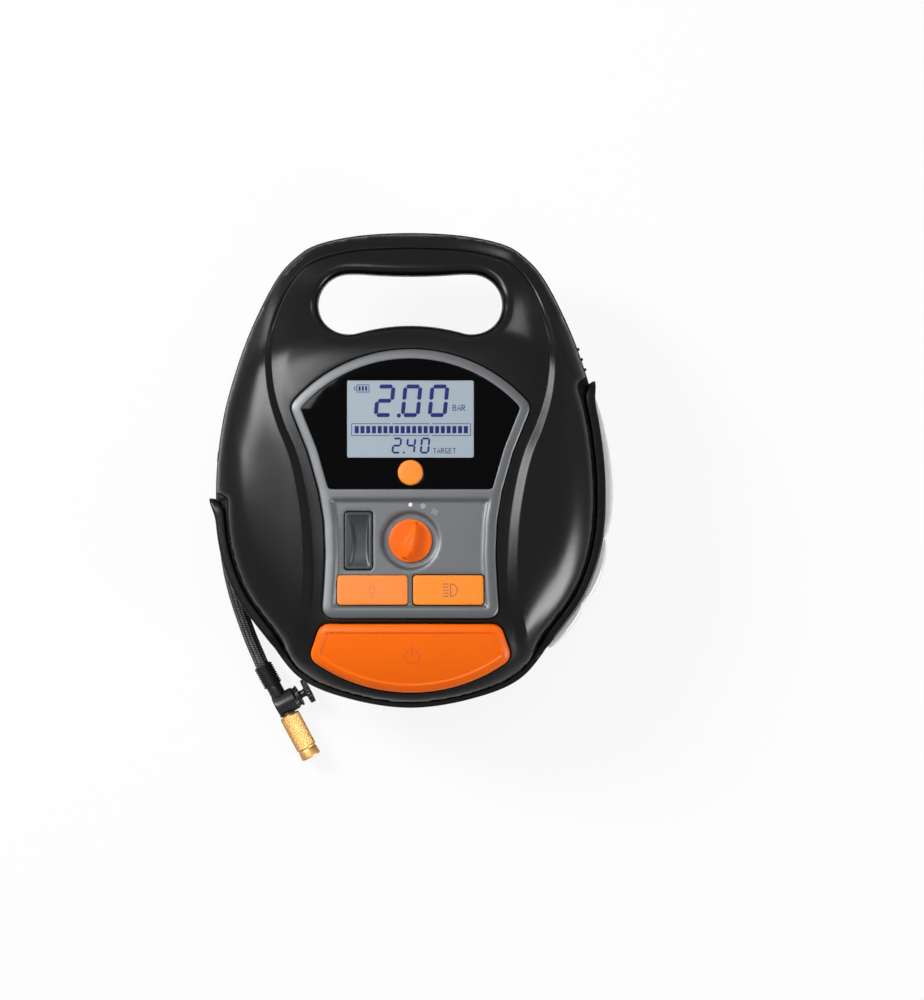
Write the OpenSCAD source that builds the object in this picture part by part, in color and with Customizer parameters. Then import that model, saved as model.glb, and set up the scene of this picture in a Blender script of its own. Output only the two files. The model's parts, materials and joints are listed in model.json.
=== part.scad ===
// Cordless tyre inflator with a digital gauge, lying on the feet of its back.
// X runs to the right, Y towards the carry handle and Z out of the display.

/* [Casing] */
// Width of the casing across its widest layer
body_w = 232; // [230:1:242]
// From the display's centre line up to the top of the handle
body_top = 141.5; // [140:0.5:149]
// From the display's centre line down to the bottom
body_bottom = 142; // [141:0.5:149]
// Height of the rear shell from the hose channel to the seam
rear_h = 37; // [36:0.5:42]
// Height of the front shell's crown above the seam
front_h = 40; // [39:0.5:44]
// Wall thickness of the mouldings
wall = 2.6; // [2.2:0.1:3]
// Clearance between fixed mouldings
fit_gap = 0.15; // [0.1:0.05:0.2]
// Clearance round moving buttons
button_gap = 0.5; // [0.4:0.05:0.6]

/* [Handle] */
// Half distance between the round ends of the finger opening
grip_half = 36.5; // [35:0.5:38]
// Radius of the round ends of the finger opening
grip_r = 18.3; // [16.5:0.1:19]
// Height of the finger opening's centre above the centre line
grip_y = 98.2; // [98:0.1:99.5]
// Lowest level of the handle above the table
grip_back_z = 44; // [40:1:48]
// Level of the handle's front at its top
grip_front_z = 84; // [82:1:88]

/* [Back] */
// Height of the rubber feet
foot_h = 3; // [2:0.5:5]
// Thickness of the back plate
plate_t = 6; // [5:0.5:8]
// Depth of the hose channel, along the height of the casing
channel_h = 16; // [14:0.5:18]
// Width of the hose channel, in from the plate's edge
channel_w = 13.5; // [12:0.5:15]

/* [Control panel] */
// Half width of the panel at its shoulders
panel_half = 67; // [65:0.5:70]
// Width of the raised rim round the panel
rim_w = 5.6; // [4.5:0.1:6.5]
// Drop from the panel's rim to its lower field
field_drop = 1.4; // [1:0.1:2]
// Radius of the round mode button
mode_r = 7.3; // [6:0.1:8]
// Radius of the mode knob
knob_r = 12.6; // [11:0.1:13.5]
// Width of each orange key under the knob
key_w = 41.3; // [38:0.1:41.6]
// Height of each orange key under the knob
key_h = 17.4; // [15:0.1:18]
// Width of the power button at its widest
power_w = 116.5; // [110:0.5:120]

/* [Gauge] */
// Width of the display
lcd_w = 74; // [66:0.5:76]
// Height of the display
lcd_h = 45; // [40:0.5:46]
// Height of a main digit
digit_h = 19; // [16:0.5:20]

/* [Air pump] */
// Bore of the cylinder
bore = 24; // [22:0.5:25]
// Radius that the crank pin turns on
crank_r = 7; // [5:0.5:7]
// Diameter of the pump motor
motor_d = 36; // [32:1:37]
// Teeth of the motor pinion
pinion_teeth = 9; // [9:1:10]
// Teeth of the crank gear
gear_teeth = 45; // [42:1:46]
// Gear module
gear_module = 1; // [0.9:0.05:1]

/* [Air hose] */
// Outer diameter of the braided hose
hose_d = 9; // [8:0.5:9.5]
// Diameter of the brass chuck
chuck_d = 12.7; // [12:0.1:14]
// Radius of the chuck's thread bore
chuck_bore_r = 3.9; // [3.8:0.05:4]

/* [Hidden] */
eps = 0.01;

// Levels above the table
z_plate = foot_h;
z_channel = z_plate + plate_t;
z_rear = z_channel + channel_h;
z_seam = z_rear + rear_h;
z_crown = z_seam + front_h;
z_floor = z_channel + wall;
z_panel = z_crown - 0.8;
z_field = z_panel - field_drop;
z_board = z_panel - 13.2;
board_t = 1.6;
// Inset of the front shell's edge at the seam
seam_in = 1.2;

// Outline of the casing: half widths and heights as shares of the overall sizes
half_shape = [
    [0, 1], [0.26, 0.989], [0.465, 0.955], [0.577, 0.905], [0.69, 0.803],
    [0.815, 0.602], [0.905, 0.4], [0.968, 0.195], [1, -0.056], [0.983, -0.31],
    [0.897, -0.522], [0.738, -0.705], [0.565, -0.877], [0.31, -0.963], [0, -1]
];
half_n = len(half_shape) - 1;
centre = [0, -8];

function sized(p) = [p.x * body_w / 2, p.y * (p.y > 0 ? body_top : body_bottom)];
function mirrored(p) = [-p.x, p.y];
function knot(k) = k < 0 ? mirrored(sized(half_shape[-k]))
    : k > half_n ? mirrored(sized(half_shape[2 * half_n - k]))
    : sized(half_shape[k]);
function spline(a, b, c, d, t) =
    0.5 * (2 * b + (c - a) * t + (2 * a - 5 * b + 4 * c - d) * t * t
        + (3 * b - a - 3 * c + d) * t * t * t);
function rim(i) = let (k = min(floor(i), half_n - 1), t = i - k)
    spline(knot(k - 1), knot(k), knot(k + 1), knot(k + 2), t);
function unit(v) = v / norm(v);
function rim_round(i) = i < 0 ? mirrored(rim(-i)) : i > half_n ? mirrored(rim(2 * half_n - i)) : rim(i);
function rim_normal(i) = let (d = rim_round(i + 0.02) - rim_round(i - 0.02)) unit([-d.y, d.x]);
function rim_off(i, off) = rim(i) + rim_normal(i) * off;
// Place along the outline, counted in knots, where the right side has the height y
function rim_at(y, low = 0, high = half_n) = high - low < 0.001 ? low
    : let (mid = (low + high) / 2) rim(mid).y > y ? rim_at(y, mid, high) : rim_at(y, low, mid);
function ease(x) = let (t = max(0, min(1, x))) t * t * (3 - 2 * t);
outline_n = 32;
function outline_points(off = 0) = [
    for (k = [0 : outline_n - 1]) rim_off(k * half_n / outline_n, off),
    for (k = [outline_n : -1 : 1]) mirrored(rim_off(k * half_n / outline_n, off))
];

module outline_2d(off = 0) polygon(outline_points(off));

// Strip along the right side, from y_top down to y_low, between two offsets
band_n = 24;
function band_points(y_top, y_low, out, in, hook = 0) = let (a = rim_at(y_top), b = rim_at(y_low))
    [
        for (k = [0 : band_n]) let (i = a + (b - a) * k / band_n)
            rim_off(i, out + hook * exp(-pow((rim(i).y - y_top + hook_reach) / hook_reach, 2))),
        for (k = [band_n : -1 : 0]) rim_off(a + (b - a) * k / band_n, in)
    ];
module band(y_top, y_low, out, in, z0, z1, hook = 0)
    translate([0, 0, z0])
    linear_extrude(z1 - z0)
    polygon(band_points(y_top, y_low, out, in, hook));

// Side guards
hook_reach = 7;
hook_out = 4;
guard_z0 = z_seam - 11;
guard_z1 = z_seam + 6;
guard_in = 5.8;
valley_in = 7.6;
guard_low_y = -108;
guard_right_y = 52;
guard_left_y = -17;

// Lamp along the right wall
lamp_z0 = z_rear + 3;
lamp_z1 = guard_z0 - 1.2;
lamp_top_y = 45;
lamp_low_y = -106;
lamp_deep = 9;

// Crown of the front shell and belly of the rear shell, over the same outline
slope_y = 66;
slope_len = 44;
crown_n = 4.2;
crown_m = 2.2;
belly_n = 18;
function front_top(y, drop) = z_crown - drop
    - (z_crown - grip_front_z) * ease((y - slope_y) / slope_len);
function rear_low(y, drop) = z_rear + drop
    + (grip_back_z - z_rear) * ease((y - slope_y + 4) / (slope_len - 14));
function crown_point(p, t, drop) = let (q = centre + (p - centre) * t)
    [q.x, q.y, z_seam + (front_top(q.y, drop) - z_seam) * pow(1 - pow(t, crown_n), 1 / crown_m)];
function belly_point(p, t, drop) = let (q = centre + (p - centre) * t)
    [q.x, q.y, z_seam - (z_seam - rear_low(q.y, drop)) * pow(1 - pow(t, belly_n), 0.4)];
ring_t = [0.992, 0.975, 0.95, 0.915, 0.87, 0.81, 0.73, 0.6, 0.4, 0.2];
inner_t = [1, 0.985, 0.945, 0.87, 0.74, 0.6, 0.43];
outline_count = 2 * outline_n;
// Solid between the seam level and a domed surface; past is how far it runs over the seam
module dome(edge, drop, up, past) {
    shares = past > 0 ? inner_t : ring_t;
    rings = len(shares);
    floor_z = up ? z_seam - past : z_seam + past;
    points = [
        for (p = edge) [p.x, p.y, floor_z],
        for (t = shares) for (p = edge) up ? crown_point(p, t, drop) : belly_point(p, t, drop),
        up ? [centre.x, centre.y, front_top(centre.y, drop)]
            : [centre.x, centre.y, rear_low(centre.y, drop)],
        [centre.x, centre.y, floor_z]
    ];
    top = (rings + 1) * outline_count;
    next = function (k) (k + 1) % outline_count;
    sides = [
        for (r = [0 : rings - 1]) for (k = [0 : outline_count - 1]) each [
            [r * outline_count + k, (r + 1) * outline_count + k, r * outline_count + next(k)],
            [r * outline_count + next(k), (r + 1) * outline_count + k,
                (r + 1) * outline_count + next(k)]
        ],
        for (k = [0 : outline_count - 1]) [rings * outline_count + k, top,
            rings * outline_count + next(k)],
        for (k = [0 : outline_count - 1]) [k, next(k), top + 1]
    ];
    polyhedron(points, up ? [for (f = sides) [f[2], f[1], f[0]]] : sides);
}

// Finger opening with its raised lower edge and sagging upper edge
grip_bump = 5.2;
grip_bump_r = 110;
grip_sag = 1.3;
grip_sag_r = 350;
module grip_2d(grow = 0)
    offset(r = grow)
    offset(r = -3) offset(r = 3)
    difference() {
        hull() for (x = [-grip_half, grip_half]) translate([x, grip_y]) circle(grip_r, $fn = 52);
        translate([0, grip_y - grip_r - grip_bump_r + grip_bump]) circle(grip_bump_r, $fn = 112);
        translate([0, grip_y + grip_r + grip_sag_r - grip_sag]) circle(grip_sag_r, $fn = 240);
    }

// Back plate outline: the casing's outline closed by a shallow arch below the handle
arch_r = 260;
arch_top = 78;
base_corner = 46;
module base_2d(in = 0)
    offset(delta = -in)
    offset(r = base_corner, $fn = 96) offset(delta = -base_corner)
    intersection() {
        outline_2d(-0.8);
        translate([0, arch_top - arch_r]) circle(arch_r, $fn = 240);
    }

// Panel outline
panel_top = 70.8;
panel_arc = 92;
panel_low_y = -86.8;
panel_corner = 6;
module panel_2d(in = 0)
    offset(delta = -in)
    offset(r = panel_corner, $fn = 48) offset(delta = -panel_corner)
    intersection() {
        translate([0, panel_top - panel_arc]) circle(panel_arc, $fn = 160);
        polygon([
            [-panel_half - 22, 60], [-panel_half - 22, panel_top + 9], [panel_half + 22, panel_top + 9],
            [panel_half + 22, 60],
            [panel_half + 2, 33], [60, 10.5], [53.6, -12], [50.6, -30], [49.8, -50], [50.8, -70],
            [52.2, panel_low_y], [-52.2, panel_low_y],
            [-50.8, -70], [-49.8, -50], [-50.6, -30], [-53.6, -12], [-60, 10.5], [-panel_half - 2, 33]
        ]);
    }
window_low_y = -11.2;
field_top_y = -16.4;

// S-shaped grooves from the top of the handle down both sides of the panel
groove_w = 3.2;
groove_deep = 1.6;
groove_path = [
    [7, 131.5], [28, 130.4], [47, 127], [62, 120.5], [73.5, 106], [80.5, 88.5], [83.2, 73], [83.2, 57.5],
    [80.8, 42], [75.8, 26], [69.4, 10.5], [64.8, -7], [61, -32], [59.8, -62], [62, -82], [67.5, -104]
];
module groove_dot(p) translate(p) rotate(15) circle(d = groove_w, $fn = 12);
module groove_2d() {
    hull() {
        groove_dot(groove_path[0]);
        groove_dot(mirrored(groove_path[0]));
    }
    for (k = [0 : len(groove_path) - 2]) {
        hull() {
            groove_dot(groove_path[k]);
            groove_dot(groove_path[k + 1]);
        }
        hull() {
            groove_dot(mirrored(groove_path[k]));
            groove_dot(mirrored(groove_path[k + 1]));
        }
    }
}

// Power button outline: flat top, round corners, arched bottom
power_top_y = -90.3;
power_low_y = -131.5;
power_side_y = -112;
power_slant = 5.4;
power_corner = 6.5;
power_arc = (pow(power_w / 2, 2) + pow(power_side_y - power_low_y, 2)) / (2 * (power_side_y - power_low_y));
module power_2d(grow = 0)
    offset(delta = grow)
    offset(r = power_corner, $fn = 40) offset(delta = -power_corner)
    intersection() {
        translate([0, power_low_y + power_arc]) circle(power_arc, $fn = 160);
        polygon([
            [-power_w / 2 + power_slant, power_top_y], [power_w / 2 - power_slant, power_top_y],
            [power_w / 2 + 2, power_side_y], [power_w / 2 + 2, power_low_y],
            [-power_w / 2 - 2, power_low_y], [-power_w / 2 - 2, power_side_y]
        ]);
    }

// Screws: through the back plate, and from behind into the handle
screw_r = 1.5;
screw_head_r = 3;
screw_head_h = 2.4;
head_open = 5;
head_gap = 0.2;
screw_post_r = 4;
screw_bite = 10;
low_screws = [[92, -20], [-92, -20], [64, -90], [-64, -90], [22, -117], [-22, -117]];
grip_screws = [[71, 98], [-71, 98]];
function screws_z0(p) = p.y > 0 ? grip_back_z + 1 : z_plate + 1;
module screw_holes(r) for (p = concat(low_screws, grip_screws)) translate([p.x, p.y, z_plate - 1])
    cylinder(r = r, h = z_seam + screw_bite + 1 - z_plate);
module head_holes(places) for (p = places) translate([p.x, p.y, screws_z0(p) - head_open])
    cylinder(r = screw_head_r + 0.3, h = head_open + screw_head_h + head_gap);

// Ventilation slots under the motor
vent_n = 9;
vent_pitch = 6;
vent_len = 34;
vent_at = [30, -36];
vent_w = 3;
module vent_slots(z0, z1) for (k = [0 : vent_n - 1])
    translate([vent_at.x + (k - (vent_n - 1) / 2) * vent_pitch, vent_at.y, z0])
    hull() for (s = [-1, 1]) translate([0, s * (vent_len - vent_w) / 2, 0])
        cylinder(d = vent_w, h = z1 - z0, $fn = 16);

// Charging door on the left wall, hinged at its upper end
door_top_y = 62;
door_low_y = 2;
door_z0 = z_seam - 28;
door_z1 = z_seam - 13.5;
door_pin_r = 0.8;
door_knuckle_r = 2;
door_axis = mirrored(rim_off(rim_at(door_top_y), -door_knuckle_r - 0.2));
door_relief = 2.7;
socket_deep = 14;
socket_z = (door_z0 + door_z1) / 2;
socket_h = 11;
socket_w = 12;
socket_in = wall + 2.2;
socket_i = rim_at(31);
jack_r = 3.2;
jack_deep = 8;
module at_socket() translate([-rim(socket_i).x, rim(socket_i).y, socket_z])
    rotate([0, 0, 180 - atan2(rim_normal(socket_i).y, rim_normal(socket_i).x)])
    rotate([0, 90, 0]) children();
module left() mirror([1, 0, 0]) children();

// Outlet for high volumes of air on the upper right wall
port_y = 66;
port_z = z_seam - 13;
port_r = 7.5;
port_wall = 1.7;
port_cap_r = 11.4;
port_sink = 3;
port_block = 7.5;
port_i = rim_at(port_y);
module at_port() translate([rim(port_i).x, rim(port_i).y, port_z])
    rotate([0, 0, atan2(rim_normal(port_i).y, rim_normal(port_i).x)]) rotate([0, 90, 0]) children();

// Hose gland in the channel at the bottom left
gland_at = [-43.3, -126.1];
gland_turn = -109;
gland_r = 4;
hose_z = z_channel + channel_h / 2;

// Shells
rim_step = 4.6;
function front_in(i, top_y) = let (y = rim(i).y, low = guard_low_y)
    seam_in + (valley_in - seam_in) * ease((top_y + 11 - y) / 12)
        - (valley_in - rim_step) * ease((low + 4 - y) / 14);
function front_edge() = [
    for (k = [0 : outline_n - 1]) let (i = k * half_n / outline_n)
        rim_off(i, -front_in(i, guard_right_y)),
    for (k = [outline_n : -1 : 1]) let (i = k * half_n / outline_n)
        mirrored(rim_off(i, -front_in(i, guard_left_y)))
];
function shrunk(edge, in) = [for (p = edge) centre + (p - centre) * (1 - in / norm(p - centre))];

module front_shell() color([0.07, 0.07, 0.075]) difference() {
    union() {
        difference() {
            dome(front_edge(), 0, true, 0);
            difference() {
                dome(shrunk(front_edge(), wall), wall, true, 1);
                translate([0, 0, z_seam - 2]) linear_extrude(front_h + 4) grip_2d(wall);
            }
        }
        intersection() {
            dome(front_edge(), 0.5, true, 0);
            for (p = concat(low_screws, grip_screws)) translate([p.x, p.y, z_seam])
                cylinder(r = screw_post_r, h = front_h, $fn = 36);
        }
    }
    translate([0, 0, z_seam - 2]) linear_extrude(front_h + 4) grip_2d();
    translate([0, 0, z_seam - 2]) linear_extrude(front_h + 4) panel_2d(-fit_gap);
    translate([0, 0, z_seam - 2]) linear_extrude(front_h + 4) power_2d(button_gap);
    difference() {
        translate([0, 0, z_seam + 4]) linear_extrude(front_h) groove_2d();
        dome(shrunk(front_edge(), groove_deep), groove_deep, true, 0);
    }
    for (p = concat(low_screws, grip_screws)) translate([p.x, p.y, z_seam - 1])
        cylinder(r = screw_r + 0.05, h = screw_bite + 1.5, $fn = 24);
}

channel_lap = 1.5;
guard_heel = 3.7;
module rear_shell() color([0.08, 0.08, 0.085]) difference() {
    union() {
        difference() {
            union() {
                dome(outline_points(), 0, false, 0);
                translate([0, 0, z_channel]) linear_extrude(channel_h + channel_lap) base_2d(channel_w);
            }
            difference() {
                union() {
                    dome(outline_points(-wall), wall, false, 1);
                    translate([0, 0, z_floor]) linear_extrude(channel_h + channel_lap) base_2d(channel_w + wall);
                }
                translate([0, 0, z_rear]) linear_extrude(rear_h + 2) grip_2d(wall);
            }
        }
        for (p = low_screws) translate([p.x, p.y, z_floor - 1])
            cylinder(r = screw_post_r, h = z_seam - z_floor + 1, $fn = 32);
        intersection() {
            dome(outline_points(), 0, false, 0);
            union() {
                for (p = grip_screws) translate([p.x, p.y, z_rear])
                    cylinder(r = screw_post_r + 1.5, h = rear_h, $fn = 32);
                band(guard_right_y + 3, guard_low_y - guard_heel, 1, -guard_in - wall, guard_z0 - wall, z_seam);
                left() band(guard_left_y + 3, guard_low_y - guard_heel, 1, -guard_in - wall, guard_z0 - wall, z_seam);
                band(lamp_top_y + 3, lamp_low_y - 3, 1, -lamp_deep - wall, lamp_z0 - wall,
                    lamp_z1 + wall);
                at_port() cylinder(r = port_cap_r + 3, h = 2 * port_block, center = true, $fn = 48);
                left() band(door_top_y + 6, door_top_y - 5, 1, -5.6, door_z0 - 3, door_z1 + 3);
                left() band(39, 23, 1, -socket_deep, door_z0 - 4, socket_z - socket_h / 2);
            }
        }
    }
    translate([0, 0, z_rear - 1]) linear_extrude(rear_h + 3) grip_2d();
    band(guard_right_y + 0.3, guard_low_y - 0.3, 8, -guard_in, guard_z0, z_seam + 1);
    left() band(guard_left_y + 0.3, guard_low_y - 0.3, 8, -guard_in, guard_z0, z_seam + 1);
    band(lamp_top_y, lamp_low_y, 8, -lamp_deep, lamp_z0, lamp_z1);
    left() band(door_top_y + door_relief, door_low_y - 0.3, 8, -wall - 2, door_z0 - 0.3, door_z1 + 0.3);
    translate([door_axis.x, door_axis.y, door_z0 - 2])
        cylinder(r = door_pin_r, h = door_z1 - door_z0 + 4, $fn = 24);
    at_port() translate([0, 0, -port_sink - 0.2]) cylinder(r = port_cap_r + 0.4, h = 20, $fn = 48);
    at_port() cylinder(r = port_r + port_wall + fit_gap, h = 40, center = true, $fn = 48);
    at_socket() translate([-socket_h / 2 - 0.1, -socket_w / 2 - 0.1, -socket_deep - 1])
        cube([socket_h + 0.1, socket_w + 0.2, socket_deep + 1.1 - socket_in]);
    screw_holes(screw_r + 0.3);
    head_holes(grip_screws);
    vent_slots(z_channel - 1, z_floor + 1);
    translate([gland_at.x, gland_at.y, hose_z]) rotate([0, 0, gland_turn]) rotate([0, -90, 0])
        cylinder(r = gland_r + 0.15, h = 20, $fn = 32);
}

foot_places = [[74, 30], [-74, 30], [50, -104], [-50, -104]];
foot_r = 9;
foot_sink = 1.5;
module back_plate() color([0.1, 0.1, 0.105]) difference() {
    translate([0, 0, z_plate]) linear_extrude(plate_t) base_2d();
    screw_holes(screw_r + 0.3);
    head_holes(low_screws);
    for (k = [0 : vent_n - 1])
        translate([vent_at.x + (k - (vent_n - 1) / 2) * vent_pitch, vent_at.y, z_plate + plate_t / 2])
        cube([vent_w, vent_len, plate_t + 2], center = true);
    for (p = foot_places) translate([p.x, p.y, z_plate - 1]) cylinder(r = foot_r, h = 1 + foot_sink);
}

module rubber_feet() color([0.05, 0.05, 0.05]) for (p = foot_places) translate([p.x, p.y, 0]) {
    cylinder(r1 = foot_r - 1.5, r2 = foot_r - 0.2, h = foot_h);
    translate([0, 0, foot_h]) cylinder(r = foot_r - 0.2, h = foot_sink);
}

module housing_screws() color("silver") for (p = concat(low_screws, grip_screws))
    translate([p.x, p.y, screws_z0(p)]) difference() {
        union() {
            cylinder(r = screw_head_r, h = screw_head_h);
            cylinder(r = screw_r, h = z_seam + screw_bite - screws_z0(p));
        }
        translate([0, 0, -eps]) cylinder(r = 1.2, h = 1.4, $fn = 6);
    }

module right_guard() color([0.12, 0.12, 0.125])
    band(guard_right_y, guard_low_y, 0.3, fit_gap - guard_in, guard_z0 + fit_gap, guard_z1, hook_out);

module left_guard() color([0.12, 0.12, 0.125])
    left() band(guard_left_y, guard_low_y, 0.3, fit_gap - guard_in, guard_z0 + fit_gap, guard_z1, hook_out);

module charge_door() color([0.09, 0.09, 0.095]) difference() {
    union() {
        left() band(door_top_y, door_low_y, 0, -wall, door_z0, door_z1);
        translate([door_axis.x, door_axis.y, door_z0])
            cylinder(r = door_knuckle_r, h = door_z1 - door_z0);
        left() band(door_low_y + 9, door_low_y + 3, 1.2, -1, door_z0 + 3, door_z1 - 3);
    }
    translate([door_axis.x, door_axis.y, door_z0 - 1])
        cylinder(r = door_pin_r + 0.05, h = door_z1 - door_z0 + 2);
}

module door_pin() color("silver") translate([door_axis.x, door_axis.y, door_z0 - 1.8])
    cylinder(r = door_pin_r - 0.01, h = door_z1 - door_z0 + 3.6);

module charge_socket() color([0.15, 0.15, 0.16]) at_socket() {
    difference() {
        translate([-socket_h / 2, -socket_w / 2, -socket_deep])
            cube([socket_h, socket_w, socket_deep - socket_in]);
        translate([0, 0, -socket_in - jack_deep]) cylinder(r = jack_r, h = jack_deep + 1);
    }
    translate([0, 0, -socket_in - jack_deep - 0.5]) cylinder(r = 1, h = jack_deep - 1);
}

// Lamp
lobe_ends = [44.6, -41, -79, -105.6];
lens_t = 2.2;
lens_low = 2;
lens_high = 3.6;
lens_steps = 12;
function lobe_off(k, q) = lens_low + lens_high * pow(sin(180 * pow(q, k == 0 ? 1.8 : 1)), 0.5);
function lobe_line(off) = [
    for (k = [0 : 2]) let (a = rim_at(lobe_ends[k]), b = rim_at(lobe_ends[k + 1]))
        for (s = [0 : lens_steps]) rim_off(a + (b - a) * s / lens_steps, lobe_off(k, s / lens_steps) + off)
];
function reversed(v) = [for (k = [len(v) - 1 : -1 : 0]) v[k]];
module lamp_lens() color([0.86, 0.88, 0.9, 0.6]) translate([0, 0, lamp_z0 + fit_gap])
    linear_extrude(lamp_z1 - lamp_z0 - 2 * fit_gap)
    polygon(concat(lobe_line(0), reversed(lobe_line(-lens_t))));

lamp_skin = 1.3;
module lamp_reflector() color([0.9, 0.9, 0.9]) difference() {
    band(lamp_top_y - 0.3, lamp_low_y + 0.3, -0.6, fit_gap - lamp_deep, lamp_z0 + fit_gap, lamp_z1 - fit_gap);
    band(lamp_top_y - 2, lamp_low_y + 2, 3, lamp_skin - lamp_deep, lamp_z0 + lamp_skin, lamp_z1 - lamp_skin);
}

led_n = 9;
lamp_mid_z = (lamp_z0 + lamp_z1) / 2;
module lamp_board() {
    color("white") band(lamp_top_y - 4, lamp_low_y + 4, -lamp_deep + lamp_skin + 1.3,
        -lamp_deep + lamp_skin + 0.1, lamp_mid_z - 4, lamp_mid_z + 4);
    color([1, 0.95, 0.7]) for (k = [1 : led_n]) let (i = rim_at(lamp_top_y - 4)
        + (rim_at(lamp_low_y + 4) - rim_at(lamp_top_y - 4)) * k / (led_n + 1),
        p = rim_off(i, -lamp_deep + lamp_skin + 1.1), n = rim_normal(i))
        translate([p.x, p.y, lamp_mid_z]) rotate([0, 0, atan2(n.y, n.x)]) rotate([0, 90, 0])
        cylinder(r = 2.4, h = 2);
}

// Controls
panel_floor_t = 2.4;
skirt_t = 2.4;
window_t = 1.8;
window_drop = 0.6;
window_z0 = z_panel - window_drop - window_t;
lcd_y = 29.8;
knob_y = -41.4;
knob_ring = 5.3;
ring_deep = 1.3;
mode_y = -1.5;
rocker_at = [-30.4, -41.4];
rocker_w = 16.2;
rocker_l = 33.7;
rocker_t = 4.2;
rocker_pin_r = 0.8;
rocker_z0 = z_field - 4.4;
rocker_axis_z = rocker_z0 + 1.4;
keys_y = -70.3;
keys_gap = 3.2;
key_x = (key_w + keys_gap) / 2;
key_corner = 2;
cover_t = 2.2;
cover_axis_z = z_field - 0.3;
cover_axis_y = keys_y + key_h / 2 - cover_t / 2;
cover_pin_r = 0.5;
cover_pin_over = 2;
usb_w = 30;
usb_h = 9;
power_travel = 2;
light_travel = 1.2;
mode_travel = 1;
switch_h = 3.6;
stem_h = 0.8;
stem_top = z_board + board_t + switch_h + stem_h;
main_z = z_floor + 58.4;
power_switch = [0, -104];
light_switch = [key_x, keys_y];

module rounded_2d(w, h, r) offset(r = r, $fn = 32) square([w - 2 * r, h - 2 * r], center = true);
module window_2d(in = 0) intersection() {
    panel_2d(rim_w + in);
    translate([-100, window_low_y + in]) square([200, 200]);
}
module field_2d() intersection() {
    panel_2d(rim_w);
    translate([-100, field_top_y - 200]) square([200, 200]);
}

module control_panel() color([0.43, 0.44, 0.45]) difference() {
    union() {
        translate([0, 0, z_board + board_t]) linear_extrude(z_panel - z_board - board_t) difference() {
            panel_2d();
            panel_2d(skirt_t);
        }
        translate([0, 0, z_field - panel_floor_t]) linear_extrude(z_panel - z_field + panel_floor_t)
            panel_2d(skirt_t / 2);
        for (s = [-1, 1]) translate([rocker_at.x + s * (rocker_w / 2 + 1.9), rocker_at.y, rocker_axis_z])
            cube([2.4, 6, 4], center = true);
    }
    translate([0, 0, window_z0]) linear_extrude(9) window_2d();
    translate([0, 0, z_field]) linear_extrude(9) field_2d();
    translate([-lcd_w / 2 - 0.3, lcd_y - lcd_h / 2 - 0.3, z_board]) cube([lcd_w + 0.6, lcd_h + 0.6, 30]);
    translate([0, mode_y, z_board]) cylinder(r = mode_r + 0.35, h = 30);
    translate([0, knob_y, z_field - ring_deep]) cylinder(r = knob_r + knob_ring, h = 9);
    translate([0, knob_y, z_board]) cylinder(r = 4.7, h = 30);
    translate([rocker_at.x, rocker_at.y, z_board]) linear_extrude(30)
        rounded_2d(rocker_w + 2 * button_gap, rocker_l + 2 * button_gap, 2);
    translate([rocker_at.x - rocker_w / 2 - 4, rocker_at.y, rocker_axis_z]) rotate([0, 90, 0])
        cylinder(r = rocker_pin_r, h = rocker_w + 8, $fn = 24);
    translate([-key_x, keys_y - 0.15, z_field - 1.6]) linear_extrude(9)
        rounded_2d(key_w + 0.6, key_h + 0.9, key_corner);
    translate([-key_x, keys_y - 1.5, z_board]) linear_extrude(30) square([usb_w, usb_h], center = true);
    translate([-key_x - key_w / 2 - cover_pin_over, cover_axis_y, cover_axis_z]) rotate([0, 90, 0])
        cylinder(r = cover_pin_r, h = key_w + 2 * cover_pin_over, $fn = 24);
    translate([key_x, keys_y, z_board]) linear_extrude(30)
        rounded_2d(key_w + 2 * button_gap, key_h + 2 * button_gap, key_corner);
}

module display_window() color([0.02, 0.02, 0.025]) translate([0, 0, window_z0]) linear_extrude(window_t)
    difference() {
        window_2d(fit_gap);
        translate([0, lcd_y]) square([lcd_w + 0.4, lcd_h + 0.4], center = true);
        translate([0, mode_y]) circle(mode_r + 0.35);
    }

lcd_rim = 3.5;
lcd_face_z = window_z0 + window_t - 0.1;
module lcd_module() color([0.68, 0.74, 0.79]) {
    translate([-lcd_w / 2 - lcd_rim, lcd_y - lcd_h / 2, z_board + board_t])
        cube([lcd_w + 2 * lcd_rim, lcd_h + lcd_rim, z_field - panel_floor_t - z_board - board_t - 0.1]);
    translate([-lcd_w / 2, lcd_y - lcd_h / 2, z_board + board_t])
        cube([lcd_w, lcd_h, lcd_face_z - z_board - board_t]);
}

// Seven bars of a digit in a leaning box of unit height, one bar per number
seg_lean = 0.1;
seg_t = 0.05;
function leaning(p, h, at) = [at.x + (p.x + p.y * seg_lean) * h, at.y + p.y * h];
module bar(a, b, h, at) {
    d = unit(b - a);
    n = [-d.y, d.x];
    w = 0.06;
    polygon([for (p = [a + d * 0.02, a + d * w + n * w, b - d * w + n * w, b - d * 0.02,
        b - d * w - n * w, a + d * w - n * w]) leaning(p, h, at)]);
}
seg_ends = [
    [[0, 0.94], [0.46, 0.94]], [[0.46, 0.94], [0.46, 0.5]], [[0.46, 0.5], [0.46, 0.06]],
    [[0, 0.06], [0.46, 0.06]], [[0, 0.5], [0, 0.06]], [[0, 0.94], [0, 0.5]], [[0, 0.5], [0.46, 0.5]]
];
digit_bars = [[0, 1, 2, 3, 4, 5], [1, 2], [0, 1, 6, 4, 3], [0, 1, 6, 2, 3], [5, 6, 1, 2]];
module digit(n, h, at) for (k = digit_bars[n]) bar(seg_ends[k][0], seg_ends[k][1], h, at);
digit_step = 0.83;
main_left = -20.4;
main_base = 31;
target_h = 9.4;
target_left = -10.6;
target_base = 9.6;
bar_n = 20;
bar_y = 23.6;
bar_h = 4.4;
bar_left = -32.6;
bar_pitch = 3.36;
bar_w = 2.3;
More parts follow.
